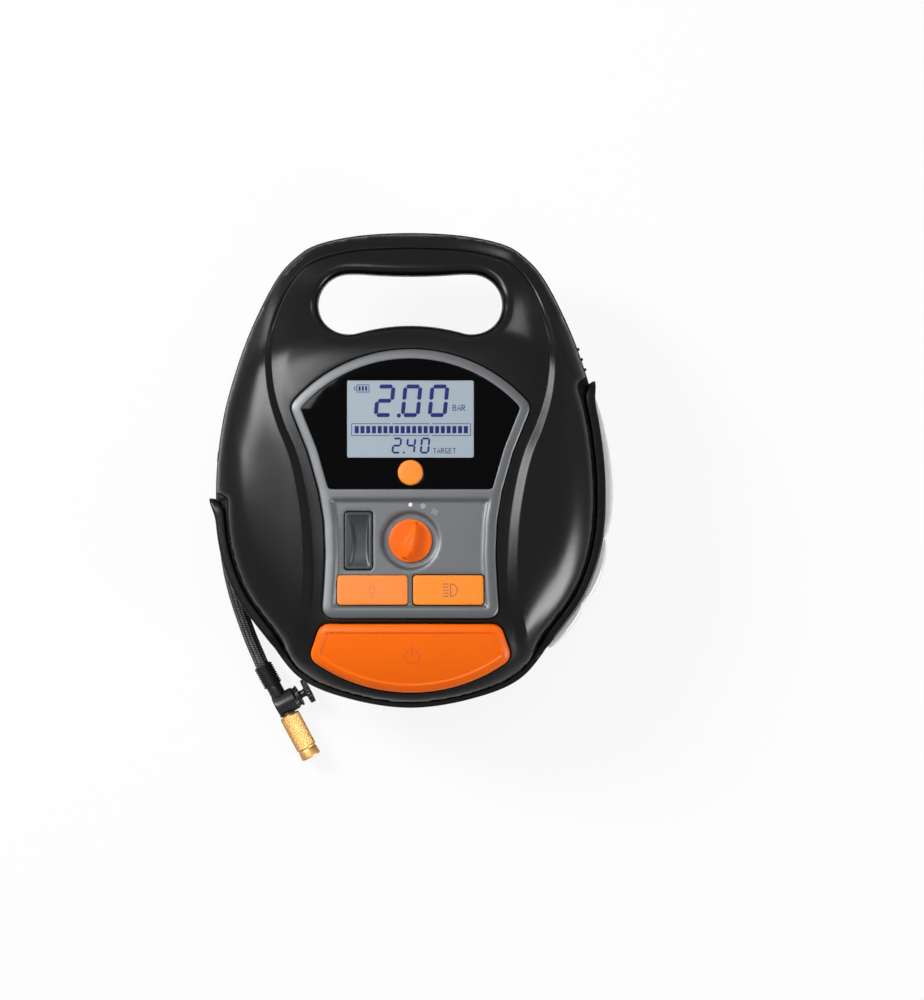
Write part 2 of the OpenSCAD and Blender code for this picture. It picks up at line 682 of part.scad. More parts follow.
module lcd_segments() color([0.07, 0.09, 0.36]) translate([0, 0, lcd_face_z]) linear_extrude(seg_t) {
    for (k = [0 : 2]) digit([2, 0, 0][k], digit_h, [main_left + k * digit_step * digit_h, main_base]);
    translate([main_left + 0.72 * digit_h, main_base + 0.9]) circle(1.1, $fn = 16);
    for (k = [0 : 2]) digit([2, 4, 0][k], target_h, [target_left + k * 0.88 * target_h, target_base]);
    translate([target_left + 0.72 * target_h, target_base + 0.5]) circle(0.6, $fn = 16);
    for (k = [0 : bar_n - 1]) translate([bar_left + k * bar_pitch, bar_y - bar_h / 2]) square([bar_w, bar_h]);
}

button_flange = 1;
button_skirt = 1.5;
module mode_button() color([0.98, 0.47, 0.11]) {
    translate([0, mode_y, stem_top + mode_travel + 0.1]) cylinder(r = mode_r + button_flange, h = 1.3);
    translate([0, mode_y, stem_top + mode_travel + 0.1])
        cylinder(r = mode_r, h = z_panel + 0.3 - stem_top - mode_travel - 0.1);
}

knob_z0 = z_field - ring_deep + 0.3;
knob_disc = 3.2;
knob_grip_h = 5.5;
knob_grip_w = 8.5;
knob_turn = -19.4;
shaft_r = 3;
module mode_knob() color([0.98, 0.45, 0.1]) translate([0, knob_y, knob_z0]) difference() {
    union() {
        cylinder(r = knob_r, h = knob_disc);
        intersection() {
            cylinder(r = knob_r - 0.6, h = knob_disc + knob_grip_h);
            rotate([0, 0, knob_turn]) linear_extrude(knob_disc + knob_grip_h)
                polygon([[-knob_grip_w / 2, -knob_r], [knob_grip_w / 2, -knob_r],
                    [knob_grip_w / 2, 0], [1.4, knob_r], [-1.4, knob_r], [-knob_grip_w / 2, 0]]);
        }
    }
    translate([0, 0, -1]) cylinder(r = shaft_r + 0.02, h = 7);
}

module knob_shaft() color("silver") translate([0, knob_y, z_board + board_t + 1])
    cylinder(r = shaft_r, h = knob_z0 + 5.9 - z_board - board_t - 1);

module rotary_switch() color([0.2, 0.3, 0.25]) translate([0, knob_y, z_board + board_t]) difference() {
    union() {
        translate([-9, -9, 0]) cube([18, 18, z_field - panel_floor_t - z_board - board_t - 0.3]);
        cylinder(r = 4.5, h = knob_z0 - 0.4 - z_board - board_t);
    }
    translate([0, 0, 0.9]) cylinder(r = shaft_r + 0.05, h = 20);
}

module pressure_rocker() color([0.2, 0.22, 0.25]) difference() {
    translate([rocker_at.x, rocker_at.y, rocker_z0]) linear_extrude(rocker_t) rounded_2d(rocker_w, rocker_l, 2);
    translate([rocker_at.x, rocker_at.y, rocker_z0 + rocker_t + 31.4]) rotate([0, 90, 0])
        cylinder(r = 33, h = rocker_w - 3, center = true, $fn = 96);
    translate([rocker_at.x - rocker_w, rocker_at.y, rocker_axis_z]) rotate([0, 90, 0])
        cylinder(r = rocker_pin_r + 0.05, h = 2 * rocker_w, $fn = 24);
}

module rocker_pin() color("silver")
    translate([rocker_at.x - rocker_w / 2 - 3, rocker_at.y, rocker_axis_z]) rotate([0, 90, 0])
    cylinder(r = rocker_pin_r - 0.01, h = rocker_w + 6, $fn = 24);

module usb_cover() color([0.98, 0.45, 0.1]) difference() {
    union() {
        translate([-key_x, keys_y - cover_t / 4, cover_axis_z - cover_t / 2]) linear_extrude(cover_t)
            rounded_2d(key_w, key_h - cover_t / 2, key_corner);
        translate([-key_x - key_w / 2 + key_corner, cover_axis_y, cover_axis_z]) rotate([0, 90, 0])
            cylinder(r = cover_t / 2, h = key_w - 2 * key_corner, $fn = 32);
    }
    translate([-key_x - key_w, cover_axis_y, cover_axis_z]) rotate([0, 90, 0])
        cylinder(r = cover_pin_r + 0.05, h = 2 * key_w, $fn = 24);
}

module usb_cover_pin() color("silver")
    translate([-key_x - key_w / 2 - cover_pin_over + 0.2, cover_axis_y, cover_axis_z]) rotate([0, 90, 0])
    cylinder(r = cover_pin_r - 0.01, h = key_w + 2 * cover_pin_over - 0.4, $fn = 24);

module usb_port() color([0.75, 0.76, 0.78]) translate([-key_x, keys_y - 1.5, z_board + board_t]) difference() {
    translate([-usb_w / 2 - 1, -usb_h / 2 - 1, 0])
        cube([usb_w + 2, usb_h + 2, z_field - panel_floor_t - z_board - board_t - 0.1]);
    translate([-12.8, -2.3, 1]) cube([12.6, 4.6, 20]);
    translate([3.2, -1.6, 1]) cube([9, 3.2, 20]);
}

module light_button() color([0.98, 0.45, 0.1]) translate([key_x, keys_y, 0]) {
    translate([0, 0, stem_top + light_travel + 0.1]) linear_extrude(0.9)
        rounded_2d(key_w + 2 * button_skirt, key_h + 2 * button_skirt, key_corner);
    translate([0, 0, stem_top + light_travel + 0.1])
        linear_extrude(z_field + 0.8 - stem_top - light_travel - 0.1)
        rounded_2d(key_w, key_h, key_corner);
}

power_ball_r = 86.8;
power_ball_at = [0, -84.3, z_crown - 88.5];
power_wide = 2.15;
module power_ball(in) translate(power_ball_at) scale([power_wide, 1, 1]) sphere(power_ball_r - in, $fn = 128);
power_t = 2.6;
module power_button() color([0.97, 0.33, 0.05]) {
    difference() {
        intersection() {
            translate([0, 0, z_crown - 22]) linear_extrude(30) power_2d();
            power_ball(0);
        }
        intersection() {
            translate([0, 0, z_crown - 23]) linear_extrude(30) power_2d(-power_t);
            power_ball(power_t);
        }
    }
    intersection() {
        translate([power_switch.x, power_switch.y, main_z + board_t + switch_h + stem_h + power_travel + 0.1])
            cylinder(r = 3.4, h = 40);
        power_ball(power_t / 2);
    }
}

module push_switch(at, z) translate([at.x, at.y, z]) {
    translate([-3, -3, 0]) cube([6, 6, switch_h]);
    cylinder(r = 1.7, h = switch_h + stem_h, $fn = 24);
}
module push_switches() color([0.1, 0.1, 0.1]) {
    push_switch([0, mode_y], z_board + board_t);
    push_switch(light_switch, z_board + board_t);
    for (s = [-1, 1]) push_switch([rocker_at.x, rocker_at.y + s * 11], z_board + board_t);
    push_switch(power_switch, main_z + board_t);
}

module control_board() color([0.05, 0.3, 0.15]) translate([0, 0, z_board]) linear_extrude(board_t) panel_2d(1);

main_w = 80;
main_top_y = -38;
main_low_y = -111;
cap_r = 5;
cap_h = 10;
cap_at = [[-30, -62], [-18, -62]];
chip = [10, 12, 3];
chip_at = [[8, -66], [24, -66]];
module main_board() {
    color([0.05, 0.3, 0.15]) translate([-main_w / 2, main_low_y, main_z])
        cube([main_w, main_top_y - main_low_y, board_t]);
    color([0.1, 0.1, 0.12]) for (p = cap_at) translate([p.x, p.y, main_z + board_t]) cylinder(r = cap_r, h = cap_h);
    color([0.15, 0.15, 0.17]) for (p = chip_at) translate([p.x, p.y, main_z + board_t]) cube(chip);
}

// Battery
cell_d = 18.4;
cell_l = 65;
cell_gap = 0.3;
pack_at = [-42, 14];
tray_t = 2;
tray_wall = 9;
cell_pitch = cell_d + cell_gap;
module battery_cells() color([0.2, 0.45, 0.75]) for (i = [-1 : 1]) for (j = [0, 1])
    translate([pack_at.x + i * cell_pitch, pack_at.y - cell_l / 2,
        z_floor + tray_t + cell_d / 2 + 0.05 + j * cell_pitch])
    rotate([-90, 0, 0]) cylinder(d = cell_d, h = cell_l);

tray_w = 3 * cell_pitch + 0.6;
tray_l = cell_l + 0.6;
module battery_tray() color([0.13, 0.13, 0.14]) difference() {
    translate([pack_at.x - tray_w / 2 - tray_t, pack_at.y - tray_l / 2 - tray_t, z_floor])
        cube([tray_w + 2 * tray_t, tray_l + 2 * tray_t, tray_wall]);
    translate([pack_at.x - tray_w / 2, pack_at.y - tray_l / 2, z_floor + tray_t])
        cube([tray_w, tray_l, tray_wall]);
}

// Pump: motor along Y, gear reduction, piston along X
pump_z = z_floor + 30;
motor_x = 52;
motor_y0 = -56;
motor_l = 50;
motor_shaft_r = 1.6;
motor_boss_r = 6.5;
gear_x = motor_x - gear_module * (pinion_teeth + gear_teeth) / 2;
gear_y0 = -69;
gear_t = 6;
frame_y0 = -62;
frame_t = 6;
rod_y = -76;
rod_t = 6;
rod_l = 42;
axle_r = 3;
crank_pin_x = gear_x - crank_r;
crown_x = crank_pin_x - rod_l;
cylinder_l = 24;
cylinder_wall = 2.5;
head_w = 32;
head_t = 10;

module along_y(x, y, z) translate([x, y, z]) rotate([-90, 0, 0]) children();
module along_x(x, y, z) translate([x, y, z]) rotate([0, 90, 0]) children();

module pump_motor() color([0.62, 0.63, 0.65]) difference() {
    union() {
        along_y(motor_x, motor_y0, pump_z) cylinder(d = motor_d, h = motor_l);
        along_y(motor_x, motor_y0 - 3, pump_z) cylinder(r = motor_boss_r, h = 4);
    }
    along_y(motor_x, motor_y0 - 9, pump_z) cylinder(r = motor_shaft_r + 0.05, h = motor_l + 20, $fn = 32);
}

// Gear outline with straight-sided teeth
module gear_2d(teeth, turn = 0) {
    r = gear_module * teeth / 2;
    step = 360 / teeth;
    tip = r + 0.9 * gear_module;
    root = r - 1.15 * gear_module;
    polygon([for (k = [0 : teeth - 1]) let (a = k * step + turn) each [
        root * [cos(a - step * 0.3), sin(a - step * 0.3)], tip * [cos(a - step * 0.12), sin(a - step * 0.12)],
        tip * [cos(a + step * 0.12), sin(a + step * 0.12)], root * [cos(a + step * 0.3), sin(a + step * 0.3)]
    ]]);
}

module motor_pinion() color("silver") {
    along_y(motor_x, gear_y0 - 0.5, pump_z)
        cylinder(r = motor_shaft_r, h = motor_y0 + motor_l + 7 - gear_y0, $fn = 32);
    along_y(motor_x, gear_y0, pump_z) linear_extrude(gear_t) difference() {
        gear_2d(pinion_teeth, 180 + 180 / pinion_teeth);
        circle(motor_shaft_r - eps, $fn = 32);
    }
}

fan_r = 15;
fan_blades = 7;
module motor_fan() color([0.15, 0.15, 0.16]) along_y(motor_x, motor_y0 + motor_l + 1.5, pump_z) difference() {
    union() {
        cylinder(r = 4, h = 5);
        for (k = [0 : fan_blades - 1]) rotate([0, 0, k * 360 / fan_blades]) translate([3, -0.6, 0])
            cube([fan_r - 3, 1.2, 5]);
    }
    translate([0, 0, -1]) cylinder(r = motor_shaft_r + 0.01, h = 8, $fn = 32);
}

web_r = 11;
web_t = 3;
pin_gap = 0.3;
module crank_gear() color([0.85, 0.84, 0.78]) {
    along_y(gear_x, gear_y0, pump_z) linear_extrude(gear_t) gear_2d(gear_teeth);
    along_y(gear_x, gear_y0 - web_t, pump_z) cylinder(r = web_r, h = web_t);
    along_y(gear_x, gear_y0 + gear_t, pump_z) cylinder(r = axle_r, h = frame_t + 2.5);
    along_y(crank_pin_x, rod_y + rod_t / 2 + pin_gap, pump_z)
        cylinder(r = 3, h = gear_y0 - web_t - rod_y - rod_t / 2 - pin_gap);
}

bearing_r = 8;
module shaft_bearings() color([0.7, 0.71, 0.73]) along_y(gear_x, frame_y0 + 0.5, pump_z) difference() {
    cylinder(r = bearing_r - 0.02, h = 5);
    translate([0, 0, -1]) cylinder(r = axle_r + 0.03, h = 8);
}

disc_t = 2;
module piston_rod() color([0.78, 0.78, 0.8]) {
    difference() {
        union() {
            along_y(crank_pin_x, rod_y - rod_t / 2, pump_z) cylinder(r = 7, h = rod_t);
            translate([crown_x + 3 * disc_t - 1, rod_y - rod_t / 2, pump_z - 4])
                cube([rod_l - 3 * disc_t, rod_t, 8]);
        }
        along_y(crank_pin_x, rod_y - rod_t, pump_z) cylinder(r = 3.2, h = 2 * rod_t);
    }
    along_x(crown_x, rod_y, pump_z) cylinder(r = bore / 2 - 1.2, h = disc_t);
    along_x(crown_x + disc_t - eps, rod_y, pump_z) cylinder(r = 6, h = disc_t + 2 * eps);
    along_x(crown_x + 2 * disc_t, rod_y, pump_z) cylinder(r = bore / 2 - 1, h = disc_t);
}

module piston_cup() color([0.9, 0.9, 0.85]) along_x(crown_x + disc_t, rod_y, pump_z) difference() {
    cylinder(r = bore / 2 - 0.05, h = disc_t);
    translate([0, 0, -1]) cylinder(r = 6.01, h = disc_t + 2);
}

module pump_cylinder() color([0.72, 0.73, 0.75]) difference() {
    union() {
        along_x(crown_x - 1, rod_y, pump_z) cylinder(r = bore / 2 + cylinder_wall, h = cylinder_l);
        translate([crown_x - 1, rod_y - head_w / 2, pump_z - head_w / 2]) cube([4, head_w, head_w]);
        for (k = [0 : 3]) along_x(crown_x + 5 + k * 4, rod_y, pump_z)
            cylinder(r = bore / 2 + cylinder_wall + 1.4, h = 1.4);
    }
    along_x(crown_x - 2, rod_y, pump_z) cylinder(r = bore / 2, h = cylinder_l + 4);
}

nozzle_l = 4;
module cylinder_head() color([0.66, 0.67, 0.7]) translate([crown_x - 1 - head_t, rod_y, pump_z]) {
    translate([0, -head_w / 2, -head_w / 2]) cube([head_t, head_w, head_w]);
    rotate([0, -90, 0]) cylinder(r = 3, h = nozzle_l);
}

cradle_x = crown_x - 1 + cylinder_l - 4;
module pump_frame() color([0.3, 0.31, 0.33]) difference() {
    union() {
        translate([gear_x - 13, frame_y0, z_floor]) cube([motor_x - gear_x + 31, frame_t, main_z - z_floor]);
        translate([cradle_x, frame_y0 - 30, z_floor]) cube([4, 30, main_z - z_floor]);
        translate([cradle_x, frame_y0 - 30, z_floor]) cube([gear_x + 13 - cradle_x, 30 + eps, 3]);
    }
    along_y(gear_x, frame_y0 + 0.5, pump_z) cylinder(r = bearing_r, h = frame_t);
    along_y(gear_x, frame_y0 - 1, pump_z) cylinder(r = axle_r + 1, h = frame_t + 2);
    along_y(motor_x, frame_y0 - 1, pump_z) cylinder(r = motor_boss_r + 0.2, h = frame_t + 2);
    along_x(cradle_x - 1, rod_y, pump_z) cylinder(r = bore / 2 + cylinder_wall + 0.02, h = 6);
}

module pressure_sensor() color([0.16, 0.17, 0.2])
    translate([crown_x - 1 - head_t / 2, rod_y, pump_z + head_w / 2]) {
    translate([-4.5, -5, 0]) cube([9, 10, 6]);
    translate([-1.5, -2, 6]) cube([3, 4, 1.5]);
}

// Sweep of a round tube along points, one ring at each point
function tangent(path, k) = unit((k > 0 ? unit(path[k] - path[k - 1]) : [0, 0, 0])
    + (k < len(path) - 1 ? unit(path[k + 1] - path[k]) : [0, 0, 0]));
function ring_at(path, k, r, sides) = let (t = tangent(path, k), side = unit(cross(t, [0, 0.05, 1])),
    up = cross(side, t)) [for (s = [0 : sides - 1]) path[k]
        + r * (cos(s * 360 / sides) * side + sin(s * 360 / sides) * up)];
module tube(path, r, sides) {
    n = len(path);
    points = [for (k = [0 : n - 1]) each ring_at(path, k, r, sides)];
    faces = [
        [for (s = [0 : sides - 1]) s],
        for (k = [0 : n - 2]) for (s = [0 : sides - 1])
            let (a = k * sides + s, b = k * sides + (s + 1) % sides) each [
            [a, a + sides, b], [b, a + sides, b + sides]
        ],
        [for (s = [sides - 1 : -1 : 0]) (n - 1) * sides + s]
    ];
    polyhedron(points, faces);
}

gland_l = 18.8;
gland_out = [cos(gland_turn), sin(gland_turn)];
function gland_in(d) = gland_at - (gland_l + d) * gland_out;
air_path = [
    [crown_x - head_t - nozzle_l - 1.05, rod_y, pump_z], [crown_x - head_t - 8, rod_y, pump_z],
    [crown_x - head_t - 12, rod_y - 1.5, pump_z - 1], [crown_x - head_t - 14, rod_y - 6, pump_z - 5],
    [crown_x - head_t - 11.5, rod_y - 12, pump_z - 11], [crown_x - head_t - 6, rod_y - 19.5, pump_z - 18],
    [gland_in(10).x, gland_in(10).y, hose_z + 2.5], [gland_in(5).x, gland_in(5).y, hose_z],
    [gland_in(0.05).x, gland_in(0.05).y, hose_z]
];
module air_line() color([0.25, 0.25, 0.27]) tube(air_path, 3, 8);

// High-volume blower
// The blower keeps its place beside the outlet's axis
blower_back = 64.8;
blower_side = 10.7;
function port_n() = rim_normal(port_i);
blower_at = rim(port_i) - blower_back * port_n() + blower_side * [port_n().y, -port_n().x];
scroll_r = 30;
scroll_z0 = z_rear + 9;
scroll_h = 26;
impeller_r = 24;
blower_wall = 1.8;
blower_shaft_r = 1.5;
module duct(r, from, to) at_port() translate([0, 0, from]) cylinder(r = r, h = to - from);

module blower_housing() color([0.18, 0.19, 0.2]) difference() {
    union() {
        translate([blower_at.x, blower_at.y, scroll_z0]) cylinder(r = scroll_r, h = scroll_h);
        duct(port_r + port_wall, -40, -21);
    }
    translate([blower_at.x, blower_at.y, scroll_z0 + blower_wall])
        cylinder(r = scroll_r - blower_wall, h = scroll_h - 2 * blower_wall);
    duct(port_r, -44, -20);
    translate([blower_at.x, blower_at.y, scroll_z0 - 1]) cylinder(r = 10, h = 5);
    translate([blower_at.x, blower_at.y, scroll_z0 + scroll_h - 4]) cylinder(r = blower_shaft_r + 1, h = 5);
}

impeller_blades = 9;
module blower_impeller() color([0.85, 0.85, 0.83]) translate([blower_at.x, blower_at.y, scroll_z0 + 4]) {
    difference() {
        union() {
            cylinder(r = impeller_r, h = 1.6);
            cylinder(r = 5, h = 15);
            for (k = [0 : impeller_blades - 1]) rotate([0, 0, k * 360 / impeller_blades])
                translate([4.5, -0.7, 0]) cube([impeller_r - 5.5, 1.4, 15]);
        }
        translate([0, 0, 6]) cylinder(r = blower_shaft_r, h = 20, $fn = 32);
    }
    translate([0, 0, 6 + eps]) cylinder(r = blower_shaft_r - eps, h = scroll_h, $fn = 32);
}

blower_motor_l = z_board - scroll_z0 - scroll_h - 3;
module blower_motor() color([0.62, 0.63, 0.65])
    translate([blower_at.x, blower_at.y, scroll_z0 + scroll_h]) difference() {
    cylinder(r = 14, h = blower_motor_l);
    translate([0, 0, -1]) cylinder(r = blower_shaft_r + 0.06, h = 14, $fn = 32);
}

module outlet_port() color([0.14, 0.14, 0.15]) at_port() difference() {
    union() {
        translate([0, 0, -20.8]) cylinder(r = port_r + port_wall, h = 20.8 - port_sink - 0.4);
        translate([0, 0, -port_block - 3.2]) cylinder(r = port_r + port_wall + 3, h = 2);
    }
    translate([0, 0, -30]) cylinder(r = port_r, h = 40);
}

cap_ribs = [-6.4, 0, 6.4];
cap_rib = [14, 1.6, 1.6];
cap_plug_h = 6;
module port_cap() color([0.12, 0.12, 0.125]) at_port() {
    translate([0, 0, -port_sink]) cylinder(r = port_cap_r, h = port_sink - 0.2);
    translate([0, 0, -port_sink - cap_plug_h]) cylinder(r = port_r - 0.06, h = cap_plug_h + eps);
    for (y = cap_ribs) translate([-cap_rib.x / 2, y - cap_rib.y / 2, -0.2 - eps]) cube(cap_rib);
}

// Air hose
gland_block = [11.2, 14, 12];
gland_neck_l = 14.5;
module hose_gland() color([0.16, 0.16, 0.17]) translate([gland_at.x, gland_at.y, hose_z])
    rotate([0, 0, gland_turn]) {
        cube(gland_block, center = true);
        rotate([0, -90, 0]) cylinder(r = gland_r, h = gland_neck_l, $fn = 32);
        rotate([0, -90, 0]) cylinder(r = 2.9, h = gland_l, $fn = 32);
    }

hose_knots = [
    [0, -134], [26, -131.1], [49.9, -123.8], [69, -109.6], [83.5, -90.1], [97.1, -70.1], [105.2, -47.4],
    [108.2, -20], [107.7, 0.9], [104.8, 25], [101.5, 37], [95, 47.3], [85.6, 55], [63.4, 62.9], [39.7, 67.9],
    [15.6, 70.5], [0, 71]
];
hose_top = len(hose_knots) - 1;
function smooth(path, k) = let (n = len(path) - 1, i = min(floor(k), n - 1))
    spline(path[max(i - 1, 0)], path[i], path[i + 1], path[min(i + 2, n)], k - i);
function lifted(p, z) = [p.x, p.y, z];
seat_gap = 0.05;
gland_side = [-gland_out.y, gland_out.x];
gland_face = gland_at + (gland_block.y / 2 + seat_gap) * gland_side;
end_l = 2;
hose_step = 0.5;
stowed_path = [
    lifted(gland_face, hose_z), lifted(gland_face + end_l * gland_side, hose_z),
    lifted(mirrored(hose_knots[1]) - [-3, 0.5], hose_z),
    lifted([-10, -133.7], hose_z),
    for (k = [0 : hose_step : hose_top]) lifted(smooth(hose_knots, k), hose_z),
    for (k = [hose_top - hose_step : -hose_step : 7.5]) lifted(mirrored(smooth(hose_knots, k)), hose_z),
    lifted([-108.7, -16], hose_z)
];
free_knots = [
    [-108.75, -16.45, hose_z], [-110.6, -30, 17], [-112.3, -45, 16.2], [-110.6, -60, 14.6],
    [-107.3, -75, 12], [-102.7, -90, 9.4], [-97.2, -105, 8], [-90.7, -119.8, 7.9]
];
fitting_at = free_knots[len(free_knots) - 1];
fitting_turn = -61.8;
fitting_out = [cos(fitting_turn), sin(fitting_turn), 0];
free_path = [
    for (k = [0 : hose_step : len(free_knots) - 1 - hose_step]) smooth(free_knots, k),
    fitting_at - (end_l + seat_gap) * fitting_out, fitting_at - seat_gap * fitting_out
];
hose_sides = 10;
module hose_stowed() color([0.09, 0.09, 0.095]) tube(stowed_path, hose_d / 2, hose_sides);
module hose_free() color([0.09, 0.09, 0.095]) tube(free_path, hose_d / 2, hose_sides);

// Hose end, along its own axis from the ferrule to the tip of the chuck
module at_fitting(x) translate(fitting_at) rotate([0, 0, fitting_turn]) translate([x, 0, 0])
    rotate([0, 90, 0]) children();
ferrule_l = 14;
ferrule_r = 5.8;
ferrule_ribs = 6;
valve_x = 26.9;
valve_r = 6.95;
valve_in = 4.9;
valve_out = 11.7;
neck_r = 4.6;
module hose_ferrule() color([0.1, 0.1, 0.105]) at_fitting(0) {
    cylinder(r = ferrule_r - 0.5, h = ferrule_l);
    for (k = [0 : ferrule_ribs - 1]) translate([0, 0, 0.4 + k * ferrule_l / ferrule_ribs])
        cylinder(r = ferrule_r, h = ferrule_l / ferrule_ribs - 0.8);
}

bleed_r = 2.5;
bleed_travel = 2.5;
sleeve_x = 34.6;
core_r = 4.5;
module cross_to(y) translate(fitting_at) rotate([0, 0, fitting_turn]) translate([valve_x, y, 0])
    rotate([-90, 0, 0]) children();
module valve_body() color([0.12, 0.12, 0.13]) difference() {
    union() {
        at_fitting(ferrule_l) cylinder(r = neck_r, h = sleeve_x - 0.7 - ferrule_l);
        cross_to(-valve_in) cylinder(r = valve_r, h = valve_in + valve_out);
    }
    cross_to(2) cylinder(r = bleed_r, h = 30);
}

bleed_disc_y = 15.6;
bleed_disc_t = 3;
bleed_disc_r = 7.75;
bleed_ribs = 18;
module bleed_knob() color([0.12, 0.12, 0.13]) {
    cross_to(2 + bleed_travel + 0.2) cylinder(r = bleed_r - 0.06, h = bleed_disc_y - 2 - bleed_travel);
    cross_to(bleed_disc_y) linear_extrude(bleed_disc_t) difference() {
        circle(bleed_disc_r, $fn = 72);
        for (k = [0 : bleed_ribs - 1]) rotate((k + 0.5) * 360 / bleed_ribs)
            translate([bleed_disc_r + 0.25, 0]) circle(0.7, $fn = 16);
    }
}

sleeve_l = 29.1;
thread_l = 10;
knurl_l = 22.6;
knurl_n = 30;
module chuck_core() color([0.85, 0.66, 0.3]) difference() {
    at_fitting(sleeve_x - 0.7) cylinder(r = core_r, h = sleeve_l - thread_l);
    at_fitting(sleeve_x - 2) cylinder(r = 1.4, h = sleeve_l);
}

module chuck_sleeve() color([0.85, 0.64, 0.27]) at_fitting(sleeve_x) difference() {
    union() {
        linear_extrude(knurl_l) difference() {
            circle(chuck_d / 2, $fn = 96);
            for (k = [0 : knurl_n - 1]) rotate(k * 360 / knurl_n)
                translate([chuck_d / 2 + 0.2, 0]) circle(0.45, $fn = 12);
        }
        translate([0, 0, knurl_l]) cylinder(d = chuck_d - 1.6, h = 0.8);
        translate([0, 0, knurl_l + 0.8]) cylinder(d = chuck_d, h = sleeve_l - knurl_l - 0.8);
    }
    translate([0, 0, -1]) cylinder(r = core_r + 0.05, h = sleeve_l - thread_l + 1);
    cylinder(r = chuck_bore_r, h = sleeve_l + 1);
}

front_shell();
rear_shell();
back_plate();
rubber_feet();
housing_screws();
left_guard();
right_guard();
charge_door();
door_pin();
charge_socket();
lamp_lens();
lamp_reflector();
lamp_board();
control_panel();
display_window();
lcd_module();
lcd_segments();
mode_button();
mode_knob();
knob_shaft();
rotary_switch();
pressure_rocker();
rocker_pin();
usb_cover();
usb_cover_pin();
usb_port();
light_button();
power_button();
push_switches();
control_board();
main_board();
battery_cells();
battery_tray();
pump_motor();
motor_pinion();
motor_fan();
crank_gear();
shaft_bearings();
piston_rod();
piston_cup();
pump_cylinder();
cylinder_head();
pump_frame();
air_line();
pressure_sensor();
blower_motor();
blower_impeller();
blower_housing();
outlet_port();
port_cap();
hose_gland();
hose_stowed();
hose_free();
hose_ferrule();
valve_body();
bleed_knob();
chuck_core();
chuck_sleeve();
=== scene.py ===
import json
import math

import bpy
import numpy as np
from mathutils import Matrix, Vector
from mathutils.geometry import delaunay_2d_cdt


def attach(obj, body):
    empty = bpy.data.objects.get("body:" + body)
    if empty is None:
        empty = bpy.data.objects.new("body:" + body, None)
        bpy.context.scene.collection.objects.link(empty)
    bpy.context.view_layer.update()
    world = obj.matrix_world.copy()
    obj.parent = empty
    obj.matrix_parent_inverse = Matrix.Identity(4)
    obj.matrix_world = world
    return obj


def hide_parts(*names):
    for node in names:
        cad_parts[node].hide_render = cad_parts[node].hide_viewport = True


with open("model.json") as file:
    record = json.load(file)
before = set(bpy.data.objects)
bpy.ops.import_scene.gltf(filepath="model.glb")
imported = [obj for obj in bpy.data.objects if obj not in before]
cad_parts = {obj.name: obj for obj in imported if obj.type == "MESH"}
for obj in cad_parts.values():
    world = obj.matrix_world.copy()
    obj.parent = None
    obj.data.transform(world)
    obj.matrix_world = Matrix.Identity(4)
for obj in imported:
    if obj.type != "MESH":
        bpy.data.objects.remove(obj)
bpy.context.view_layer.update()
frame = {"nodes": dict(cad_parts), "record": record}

MM = 0.001


def add(name, data):
    """A new object in the scene."""
    made = bpy.data.objects.new(name, data)
    bpy.context.scene.collection.objects.link(made)
    return made


# Camera, straight above the casing -----
PICTURE_W, PICTURE_H = 924, 1000
PIXEL = 0.6 * MM  # at the casing's widest level
WIDEST_Z = 52 * MM
CASING_PIXEL = (410.4, 470.0)
CAMERA_HEIGHT = 2.0
SENSOR_W = 36


def make_camera():
    data = bpy.data.cameras.new("camera")
    data.sensor_fit = "HORIZONTAL"
    data.sensor_width = SENSOR_W
    data.lens = SENSOR_W * (CAMERA_HEIGHT - WIDEST_Z) / (PICTURE_W * PIXEL)
    data.shift_x = (PICTURE_W / 2 - CASING_PIXEL[0]) / PICTURE_W
    data.shift_y = (CASING_PIXEL[1] - PICTURE_H / 2) / PICTURE_W
    camera = add("camera", data)
    camera.location = (0, 0, CAMERA_HEIGHT)
    bpy.context.scene.camera = camera


make_camera()


# Mesh helpers -----
def new_piece(name, points, faces, body, material, nodes=(), sharp=35):
    """A smooth mesh in metres that rides on a body and replaces CAD nodes; edges over sharp degrees
    stay sharp."""
    mesh = bpy.data.meshes.new(name)
    mesh.from_pydata([tuple(map(float, p)) for p in points], [], [tuple(map(int, f)) for f in faces])
    mesh.materials.append(MATERIALS[material])
    mesh.polygons.foreach_set("use_smooth", [True] * len(mesh.polygons))
    mesh.set_sharp_from_angle(angle=math.radians(sharp))
    piece = add(name, mesh)
    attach(piece, body)
    if nodes:
        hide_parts(*nodes)
    return piece


def normal(v):
    return v / max(np.linalg.norm(v), 1e-12)


def lengths(rows):
    return np.linalg.norm(rows, axis=1)


def unit(rows):
    """Each row scaled to a length of 1."""
    return rows / np.maximum(lengths(rows)[:, None], 1e-12)


def left_of(ways):
    """Unit vectors to the left of each way in the plan."""
    return unit(np.stack([-ways[:, 1], ways[:, 0]], axis=1))


def spline(a, b, c, d, t):
    """Catmull and Rom's curve from b to c."""
    return 0.5 * (2 * b + (c - a) * t + (2 * a - 5 * b + 4 * c - d) * t**2 + (3 * b - a - 3 * c + d) * t**3)


def smooth_path(points, steps):
    """A smooth curve through the points, with that many steps between two of them."""
    p = np.array(points, float)
    p = np.vstack([2 * p[0] - p[1], p, 2 * p[-1] - p[-2]])
    made = [spline(*p[k:k + 4], s / steps) for k in range(len(p) - 3) for s in range(steps)]
    return np.array(made + [p[-2]])


